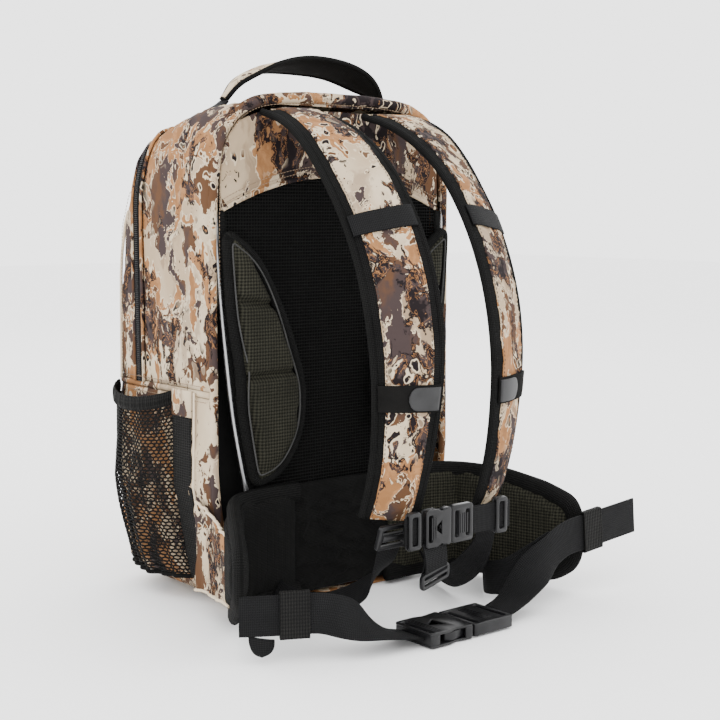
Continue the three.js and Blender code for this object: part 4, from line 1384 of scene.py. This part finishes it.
def add_keepers():
    """Elastic loops round the belt tape: flat tubes with a flared rim at both ends."""
    middle = KEEPER_HEIGHT / 2
    ring = []
    for share in np.linspace(0, 1, 49)[:-1]:
        a = 2 * math.pi * share
        ring.append((3.2 * power(math.cos(a), 0.35), middle * power(math.sin(a), 0.12)))
    for side, centre, turn, tilt in (("left", (-163, -147.6, 22.5), -0.463, 0.0),
                                     ("right", (186, -168, 46), 0.0, -0.09)):
        along = vec((math.cos(turn) * math.cos(tilt), math.sin(turn), -math.sin(tilt)))
        up = vec((math.sin(tilt), 0, math.cos(tilt)))
        out = np.cross(up, along)
        outer, inner = [], []
        for k in np.linspace(-12.6, 12.6, 16):
            place = vec(centre) + along * k + up * middle
            flare = 1.10 if abs(k) > 11.6 else 1.0
            outer.append([place + out * u * flare + up * v for u, v in ring])
            inner.append([place + out * u * 0.62 + up * v * 0.94 for u, v in ring])
        shape = Shape()
        a = shape.grid(vec(outer), closed=True)
        b = shape.grid(vec(inner), closed=True, flip=True)
        for row in (0, len(outer) - 1):
            shape.bridge(a + row * len(ring), b + row * len(ring), len(ring))
        make(f"belt_keeper_elastic_{side}", shape, RIBBED, f"keeper_{side}", [f"belt_keeper_{side}"])


def add_sternum_slides():
    """Clips that grip the shoulder strap's tape and carry the sternum tape in their window."""
    for side, x in (("left", -52), ("right", 54)):
        def place(u, v, h, x=x):
            return (x + u, STERNUM_Y + h, STERNUM_Z + v)

        clip = Shape()
        ring = rounded(-7, 7, -16.5, 16.5, 3)
        add_plate(clip, place, ring, -3.4, -1.3, [rounded(-3.4, 3.4, -12.6, 12.6, 1.5)])
        add_plate(clip, place, ring, 1.3, 3.4)
        for v0, v1 in ((-16.5, -13.2), (13.2, 16.5)):
            add_plate(clip, place, rounded(-6.6, 6.6, v0, v1, 1.2), -1.6, 1.6)
        add_moulding(f"sternum_slide_{side}", clip, f"sternum_{side}", [f"sternum_clip_{side}"])


def add_sternum_tapes():
    for side, places, count, body in (("left", (-62, -50, -41), 14, "sternum_left"),
                                      ("right", (18.8, 30, 66), 24, "sternum_male")):
        line = spline([(x, STERNUM_Y, STERNUM_Z) for x in places], count)
        add_tape(f"sternum_tape_{side}", line, steady((0, 0, 1), count), NARROW_TAPE, body,
                 [f"sternum_webbing_{side}"])


def add_sternum_tail():
    """The doubled end of the sternum tape that hangs from the buckle, held by a tri-glide."""
    places = [(-27, 1.5, -12), (-26, -1.0, -24), (-25, -0.5, -36), (-25, 2.5, -45)]
    hanging = spline([(x, STERNUM_Y + y, STERNUM_Z + z) for x, y, z in places], 30)
    tail = ribbon(Shape(), hanging, steady((1, 0.15, 0.10), 30), 30.0)
    ribbon(tail, hanging + vec((1.0, 2.6, 3.0)), steady((1, 0.1, -0.05), 30), 29.0)
    make("sternum_tail", tail, WEBBING, "sternum_left")

    def on_tail(u, v, h):
        return (-25 + u, STERNUM_Y + 1.5 - h + 0.15 * u, STERNUM_Z - 44 + v + 0.18 * u)

    glide = Shape()
    slots = [rounded(-15.5, 15.5, 1.2, 3.6, 1.0), rounded(-15.5, 15.5, -4.2, -1.8, 1.0)]
    add_plate(glide, on_tail, rounded(-19, 19, -7.5, 6.5, 4.0), -2.4, 2.4, slots, bevel=1.1)
    add_moulding("sternum_glide", glide, "sternum_left")


def add_sternum_buckle():
    face = STERNUM_Y + 4.2
    female = female_parts(30, 34, 8.4, lambda u, v, h: (u - 40, face - h, STERNUM_Z + v))
    add_moulding("sternum_socket", female, "sternum_left", ["sternum_buckle_female"])
    male = male_parts(26, 34, 8.4, 18, lambda u, v, h: (u - 8.5, face - h, STERNUM_Z + v))
    add_moulding("sternum_plug", male, "sternum_male", ["sternum_buckle_male"])


def node_box(name):
    """The low and the high corner of a CAD node's box."""
    return [vec(corner) * 1000 - vec((0, BACK_PLANE_Y, 0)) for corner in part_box(name)]


def add_ladder_locks():
    along = unit(vec((0, 0.33, -1.0)))
    out = vec((0, along[2], -along[1]))
    for side, s in SIDES:
        low, high = node_box(f"ladder_lock_{side}")
        top = vec((s * STRAP_X, low[1] + 2.2, high[2] - 1.5))

        def place(u, v, h, top=top):
            return tuple(top + along * u + vec((v, 0, 0)) + out * h)

        shape = Shape()
        slots = [rounded(4, 8, -13, 13, 1.5), rounded(15.5, 19.5, -13, 13, 1.5)]
        add_plate(shape, place, rounded(0, 23.5, -17.5, 17.5, 3), -2.0, 2.0, slots)
        add_plate(shape, place, rounded(8.8, 14.6, -13, 13, 1.5), 1.6, 3.4, bevel=0.6)
        add_moulding(f"ladder_lock_frame_{side}", shape, "pack", [f"ladder_lock_{side}"])


for strap_side, strap_sign in SIDES:
    add_strap(strap_side, strap_sign)
add_lower_webbing()
add_belt_webbing()
add_belt_buckle()
add_keepers()
add_sternum_slides()
add_sternum_tapes()
add_sternum_tail()
add_sternum_buckle()
add_ladder_locks()


# ---- side pockets -------------------------------------------------------------------------------
POCKET_REAR, POCKET_FRONT, POCKET_LOW, POCKET_RIM = 62.0, 166.0, 26.0, 197.0
POCKET_BULGE, POCKET_SAG = 28.0, 9.0
FLARE_Z = 120.0
FLARE_IN = 19.0  # how much narrower than the body the base is, each side
BASE_CORNER = 22.0
SIDE_PIPING = [(25, 210), (26, 170), (28, 120), (30, 87), (34, 56), (44, 32)]


def pocket_point(s, u, z, bulge):
    """A point of a side pocket's skin: u runs along it from its rear edge to its front one."""
    face = 145.4 - FLARE_IN * max(0.0, (FLARE_Z - z) / (FLARE_Z - BASE_CORNER))
    p = vec([(face, POCKET_REAR), (face + bulge * 1.2, POCKET_REAR + 12),
             (face + bulge * 1.3, POCKET_FRONT - 20), (face, POCKET_FRONT)])
    x, y = (1 - u) ** 3 * p[0] + 3 * (1 - u) ** 2 * u * p[1] + 3 * (1 - u) * u * u * p[2] + u**3 * p[3]
    return s * x, y


def net_point(s, u, v):
    """The hanging net: gathered into pleats at its base and slack under its elastic edge."""
    middle = math.sin(math.pi * u)
    z = POCKET_LOW + (POCKET_RIM - POCKET_LOW) * v
    bulge = POCKET_BULGE * (0.74 + 0.30 * math.sin(math.pi * min(1.0, v * 1.25 + 0.05)))
    x, y = pocket_point(s, u, z, bulge)
    pleat = 2.4 * (1 - v) ** 1.5 * math.sin(u * 46) + 1.6 * math.sin(u * 17 + v * 3.0) * middle
    fold = noise.noise(Vector((u * 5, v * 3, 2.0 * s))) * 2.2
    return (x + s * (pleat + fold) * middle, y, z - POCKET_SAG * middle * v**3)


def add_pocket_net(side, s):
    """Long cords tied in pairs to the short ones between them, so that the holes are hexagons."""
    columns, rows = 38, 50
    net = Shape()

    def knot(i, j):
        nudge = 0.17 if (i + j) % 2 else -0.17
        return net_point(s, i / columns, min(max((j + nudge) / rows, 0), 1))

    for j in range(rows + 1):
        net.tube([knot(i, j) for i in range(columns + 1)], 0.92, sides=4)
    for j in range(rows):
        for i in range(columns + 1):
            if (i + j) % 2:
                net.tube([knot(i, j), knot(i, j + 1)], 0.84, sides=4)
    make(f"pocket_net_{side}", net, NET, "pack", [f"side_pocket_{side}"])


def add_pocket_edges(side, s):
    """The gathered elastic along the pocket's rim, and the tapes round its other edges."""
    rings = []
    for u in np.linspace(0, 1, 60):
        x, y = pocket_point(s, u, 150, POCKET_BULGE * 0.88)
        z = POCKET_RIM + 5.5 - POCKET_SAG * math.sin(math.pi * u)
        gather = 0.5 * math.sin(u * 150) + 0.6
        turns = np.linspace(0, 2 * math.pi, 15)[:-1]
        rings.append([(x + s * (2.0 * math.cos(a) + gather), y, z + 7.0 * math.sin(a)) for a in turns])
    make(f"pocket_elastic_{side}", Shape().loft(vec(rings)), RIBBED, "pack", [f"pocket_binding_{side}"])
    hems = Shape()
    for u in (0.0, 1.0):
        line = vec([net_point(s, u, v) for v in np.linspace(0, 1, 40)])
        hems.tube(line + vec((s * 0.6, 0, 0)), 2.6, sides=8, flat=0.8)
    base = vec([net_point(s, u, 0.0) for u in np.linspace(0, 1, 60)])
    hems.tube(base + vec((s * 0.2, 0, 0)), 2.2, sides=8)
    make(f"pocket_hem_{side}", hems, LOOPS, "pack")


def skin_ribbon(name, line, width, material, stands_for=(), lift=0.8, thick=1.0):
    """A tape sewn flat on the bag's side, along a line of its points."""
    line = vec(line)
    out = unit((line - vec(MIDDLE)) * vec((1, 0, 0)))
    wide = unit(np.cross(tangents(line), out))
    across = np.linspace(-0.5, 0.5, 9)
    rise = 0.3 + lift * (1 - (np.abs(across) * 1.9) ** 4)
    grid = (line[:, None] + wide[:, None] * (across * width)[None, :, None]
            + out[:, None] * rise[None, :, None])
    make(name, Shape().slab(grid, grid - out[:, None] * thick), material, "pack", stands_for)


def side_line(s, places, lift):
    """Points over the bag's side at (depth, height) places."""
    return vec([side_point(s, y, z) + vec((s * lift, 0, 0)) for y, z in places])


def add_side_trim():
    for side, s in SIDES:
        band = side_line(s, [(47, z) for z in np.linspace(26, 189, 60)], 2.9)
        skin_ribbon(f"ribbed_band_{side}", band, 32.0, RIBBED, [f"gusset_band_{side}"])
        tab = side_line(s, [(46, z) for z in np.linspace(186, 211, 16)], 3.6)
        skin_ribbon(f"band_tab_{side}", tab, 34.0, CAMO, lift=1.2, thick=1.6)
        path = spline([(0, y, z) for y, z in SIDE_PIPING], 70)
        piping = Shape().tube(side_line(s, path[:, 1:], 3.2), 1.3, sides=8)
        make(f"side_piping_{side}", piping, PIPING, "pack")
        stitches = Shape()
        for z in (202.5, 216.5):
            stitch_row(stitches, side_line(s, [(y, z) for y in np.linspace(6, 150, 60)], 3.2), (s, 0, 0))
        make(f"waist_stitching_{side}", stitches, THREAD, "pack")


# ---- zips ---------------------------------------------------------------------------------------
COIL_PITCH = 1.9
PULL_CORD = [(149.6, 0, 257), (150.6, -1.4, 250), (150.6, -1.6, 240), (150.5, 0, 231), (150.6, 1.6, 240),
             (150.6, 1.4, 250), (149.7, 0.4, 257)]


def add_main_zip():
    """Both halves of the zip: tape, coil, and the folded welt of camo cloth beside it."""
    for name, s, body in (("rear", -1, "pack"), ("front", 1, "lid")):
        near = arch_line(300, lambda z: zip_depth(z, s * 0.176))
        far = arch_line(300, lambda z: zip_depth(z, s * 7.92))
        out = unit((near + far) / 2 - vec((0, 100, 330)))
        rows = [near * (1 - k) + far * k + out * (1.9 + 0.5 * math.sin(math.pi * k))
                for k in np.linspace(0, 1, 5)]
        grid = vec(rows).transpose(1, 0, 2)
        tape_shape = Shape().slab(grid, grid - out[:, None] * 1.6)
        make(f"main_zip_tape_{name}", tape_shape, WEBBING, body, [f"zip_tape_{name}"])

        coil = Shape()
        line = near + out * 2.4
        total = lengths(line)
        steps = np.arange(1.0, total[-1] - 1, COIL_PITCH)
        spots = sample(steps, total, line)
        for p, o, w in zip(spots, unit(sample(steps, total, out)), unit(sample(steps, total, far - near))):
            coil.tube([p - o * 0.3 - w * 0.1, p + o * 0.9 + w * 0.2, p + o * 0.8 + w * 1.6,
                       p - o * 0.2 + w * 2.2], 0.55, sides=4)
        make(f"main_zip_coil_{name}", coil, LACQUER, body)
        make(f"main_zip_welt_{name}", Shape().tube(far + out * 2.2, 1.7, sides=8), CAMO, body)


def slider_body(length, width, high, place):
    """A cast slider: a domed shield over a flat one, and an arch for its pull."""
    shape = Shape()
    shield = [(length / 2 * math.cos(a) * (1.0 if math.cos(a) > 0 else 0.92), width / 2 * math.sin(a))
              for a in np.linspace(0, 2 * math.pi, 20)[:-1]]
    add_plate(shape, place, shield, high * 0.45, high * 0.8, bevel=0.4)
    add_plate(shape, place, shield, 0, high * 0.3, bevel=0.3)
    arch = [(-length * 0.3, 0, high * 0.7), (-length * 0.28, 0, high * 1.25), (length * 0.2, 0, high * 1.3),
            (length * 0.24, 0, high * 0.7)]
    return shape.tube(spline([place(*p) for p in arch], 16), 0.6, sides=8)


def add_sliders():
    main = slider_body(13, 9.5, 3.2, lambda u, v, h: (145.6 + h, ZIP_Y + v, 255 + u))
    make("main_slider_body", main, LACQUER, "main_slider", ["main_zip_slider"])
    pull = Shape().tube(spline([(x, ZIP_Y + y, z) for x, y, z in PULL_CORD], 50), 1.1, sides=8)
    grip = [(-17, -3.2), (-8, -2.6), (-3, -2.0), (-3, 2.0), (-8, 2.6), (-17, 3.2), (-19, 0)]
    add_plate(pull, lambda u, v, h: (149.7 + h, ZIP_Y + v, 243 + u), grip, 0, 2.6)
    add_moulding("main_pull_cord", pull, "main_pull", ["main_zip_pull"])
    tag = [(0, -2), (14, -2.6), (16, 0), (14, 2.6), (0, 2)]
    for name in ("pocket", "tray"):
        low, high = node_box(f"{name}_zip_slider")
        x, y, z = (low[0] + high[0]) / 2, low[1], (low[2] + high[2]) / 2
        shape = slider_body(12, 8, 3.0, lambda u, v, h: (x + u, y + h, z + v))
        add_plate(shape, lambda u, v, h: (x + v, y + h - 0.6, z - u), tag, 3.2, 4.4, bevel=0.4)
        make(f"{name}_slider_body", shape, LACQUER, f"{name}_slider", [f"{name}_zip_slider"])


# ---- front --------------------------------------------------------------------------------------
FRONT_HALF, FRONT_LOW, FRONT_HIGH, FRONT_DEEP = 92.0, 238.0, 330.0, 17.0
FRONT_LIMIT = 103.9  # the frame's y that the pocket stays behind


def root_rise(share, length):
    """How far a puffed edge has risen, from 0 at its seam to 1 at a length from it."""
    return min(1.0, max(share, 0.0) / length) ** 0.5


def front_pocket_sheets():
    """The outer and the inner face of the pocket: flat on the lid's panel, puffed between its seams."""
    outer, inner = [], []
    for v in np.linspace(0, 1, 36):
        out_row, in_row = [], []
        for u in np.linspace(-1, 1, 60):
            x = FRONT_HALF * u
            corner = 14 * max(0.0, abs(u) - 0.86) / 0.14 * max(0.0, 0.18 - v) / 0.18
            z = FRONT_LOW + (FRONT_HIGH - FRONT_LOW) * v
            seam = front_point(x * 0.995, z + corner * 0.5)[1]
            rise = root_rise(1 - abs(u), 0.09) * root_rise(v, 0.12) * root_rise(1 - v, 0.10)
            wave = noise.fractal(Vector((x / 40, z / 40, 3.0)), 0.9, 2.0, 3) * 1.8
            lift = (FRONT_DEEP + wave) * rise + 2.6
            out_row.append((x, seam + lift, z + corner * 0.5))
            in_row.append((x, seam + max(lift - 2.2, 0.6), z + corner * 0.5))
        outer.append(out_row)
        inner.append(in_row)
    outer, inner = vec(outer), vec(inner)
    outer[..., 1] = np.minimum(outer[..., 1], FRONT_LIMIT - BACK_PLANE_Y)
    inner[..., 1] = np.minimum(inner[..., 1], outer[..., 1] - 1.6)
    return outer, inner


def add_flat_zip(name, body, row, z, first, last, wide):
    """A zip along a level line on the front: its tape and its coil."""
    add_tape(f"{name}_zip_tape", row, steady((0, 0, 1), len(row)), wide, body, thick=1.2)
    coil = Shape()
    for x in np.arange(first, last, COIL_PITCH):
        y = np.interp(x, row[:, 0], row[:, 1]) + 0.7
        coil.tube([(x, y, z - 2.0), (x, y + 0.8, z), (x, y, z + 2.0)], 0.5, sides=4)
    make(f"{name}_zip_coil", coil, LACQUER, body)


def add_front_pocket():
    outer, inner = front_pocket_sheets()
    make("front_pocket_cloth", Shape().slab(outer, inner), CAMO, "lid", ["front_pocket"])
    edge = np.vstack([outer[::-1, 0], outer[0, 1:-1], outer[:, -1]])
    make("front_pocket_piping", Shape().tube(edge + vec((0, 0.4, 0)), 1.6, sides=8), PIPING, "lid")
    row = outer[int(len(outer) * 0.86), 3:-3] + vec((0, 0.5, 0))
    add_flat_zip("pocket", "lid", row, row[0][2], row[0][0] + 2, row[-1][0] - 2, 9.0)


def add_tray_zip():
    z = SEAM_Z - 8
    row = vec([front_point(x, z) + vec((0, 2.9, 0)) for x in np.linspace(-101, 101, 60)])
    add_flat_zip("tray", "tray_door", row, z, -99, 99, 10.0)
    stitches = Shape()
    seams = [[(x, z) for z in np.linspace(34, 186, 50)] for x in (-96, 96)]
    for seam in seams + [[(x, 34) for x in np.linspace(-96, 96, 60)]]:
        stitch_row(stitches, vec([front_point(x, z) + vec((0, 3.4, 0)) for x, z in seam]), (0, 1, 0))
    make("tray_door_stitching", stitches, THREAD, "tray_door")


def add_lid_seam():
    """Piping where the lid's side strip meets its front panel, and a row of stitches beside it."""
    inside = vec((0, 100, 310))
    line = arch_line(220, lambda z: zip_depth(z, 36.0))
    make("lid_piping", Shape().tube(line + unit(line - inside) * 2.4, 1.5, sides=8), PIPING, "lid")
    beside = arch_line(220, lambda z: zip_depth(z, 31.0))
    stitches = Shape()
    stitch_row(stitches, beside + unit(beside - inside) * 3.2, (0, 0, 1))
    make("lid_stitching", stitches, THREAD, "lid")


# ---- grab handle --------------------------------------------------------------------------------
HANDLE_Y = 46.0
HANDLE_ARCH = [[97, 480], [82, 496], [52, 510], [20, 516]]


def add_handle():
    """The grab handle: a padded arch with a camo face that leans back, and its sewn roots."""
    count = 120
    arch = both_halves(HANDLE_ARCH[::-1])
    line = spline([(x, HANDLE_Y, z) for x, z in arch], count)
    t = np.linspace(0, 1, count)
    half = 4.5 + 11.5 * smooth(4 * t * (1 - t) / 0.8)
    lean = -0.42 * smooth((t - 0.12) / 0.4) * smooth((1 - t) / 0.16)
    level = steady((0, 1, 0), count)
    out = unit(np.cross(level, tangents(line)))
    if out[count // 2][2] < 0:
        out = -out
    cos, sin = np.cos(lean)[:, None], np.sin(lean)[:, None]
    wide, out = level * cos + out * sin, out * cos - level * sin

    def sheet(across, lift):
        return sheet_on(line, wide, out, half, across, lift)

    def skin(across):
        folds = crumple(sheet(across, 0.0), 16, seed=4.0) * 0.7
        return 3.6 * (1 - np.abs(across) ** 3)[None, :] + folds

    across = np.linspace(-1, 1, 17)
    low = sheet(across, -3.2 * (1 - np.abs(across) ** 3)[None, :])
    body = Shape().loft(np.concatenate([sheet(across, skin(across)), low[:, ::-1]], axis=1))
    make("handle_pad", body, BORDER, "handle", ["grab_handle"])
    cover = np.linspace(-0.86, 0.86, 13)
    lift = skin(cover) + 0.7
    make("handle_cloth", Shape().slab(sheet(cover, lift), sheet(cover, lift - 1.2)), CAMO, "handle")
    edges = Shape()
    for a in (-0.98, 0.98):
        edges.tube(sheet([a], 0.3)[:, 0], 2.3, sides=10)
    make("handle_edges", edges, BORDER, "handle")
    roots = Shape()
    for _, s in SIDES:
        root = spline([(s * 97, HANDLE_Y, 478.5), (s * 102, HANDLE_Y, 474.5), (s * 109, HANDLE_Y, 470.5)], 14)
        ribbon(roots, root, steady((0, 1, 0), 14), np.linspace(14, 20, 14), 2.4)
    ends = make("handle_roots", roots, WEBBING, None)
    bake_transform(ends)


for pocket_side, pocket_sign in SIDES:
    add_pocket_net(pocket_side, pocket_sign)
    add_pocket_edges(pocket_side, pocket_sign)
add_side_trim()
add_main_zip()
add_sliders()
add_front_pocket()
add_tray_zip()
add_lid_seam()
add_handle()


# ---- floor and light ----------------------------------------------------------------------------
def add_studio():
    bpy.ops.mesh.primitive_plane_add(size=14, location=(0, 0, 0))
    floor = bpy.context.object
    floor.name = "floor"
    paper = Recipe("studio_paper", (0.93, 0.93, 0.93), 0.9, specular=0.1)
    tone = paper.noise(paper.place(), 3, 2)
    paper.set("Base Color", paper.mix(tone, (0.92, 0.92, 0.92), (0.94, 0.94, 0.94)))
    floor.data.materials.append(paper.material)

    world = bpy.data.worlds.new("studio")
    bpy.context.scene.world = world
    world.use_nodes = True
    background = world.node_tree.nodes["Background"]
    background.inputs["Color"].default_value = (1, 1, 1, 1)
    background.inputs["Strength"].default_value = 3.0

    for name, place, size, power_in_watts in (
            ("key", (-1.3, -1.5, 1.9), 1.6, 20), ("fill", (1.6, -1.4, 1.2), 1.8, 6),
            ("rim", (-1.2, 1.5, 1.6), 1.4, 9), ("front", (1.2, 1.8, 1.7), 1.6, 8)):
        data = bpy.data.lights.new(name, "AREA")
        data.size = size
        data.energy = power_in_watts
        lamp = new_object(name, data)
        lamp.location = place
        aim = Vector((0, 0, 0.25)) - lamp.location
        lamp.rotation_euler = aim.to_track_quat("-Z", "Y").to_euler()


add_studio()
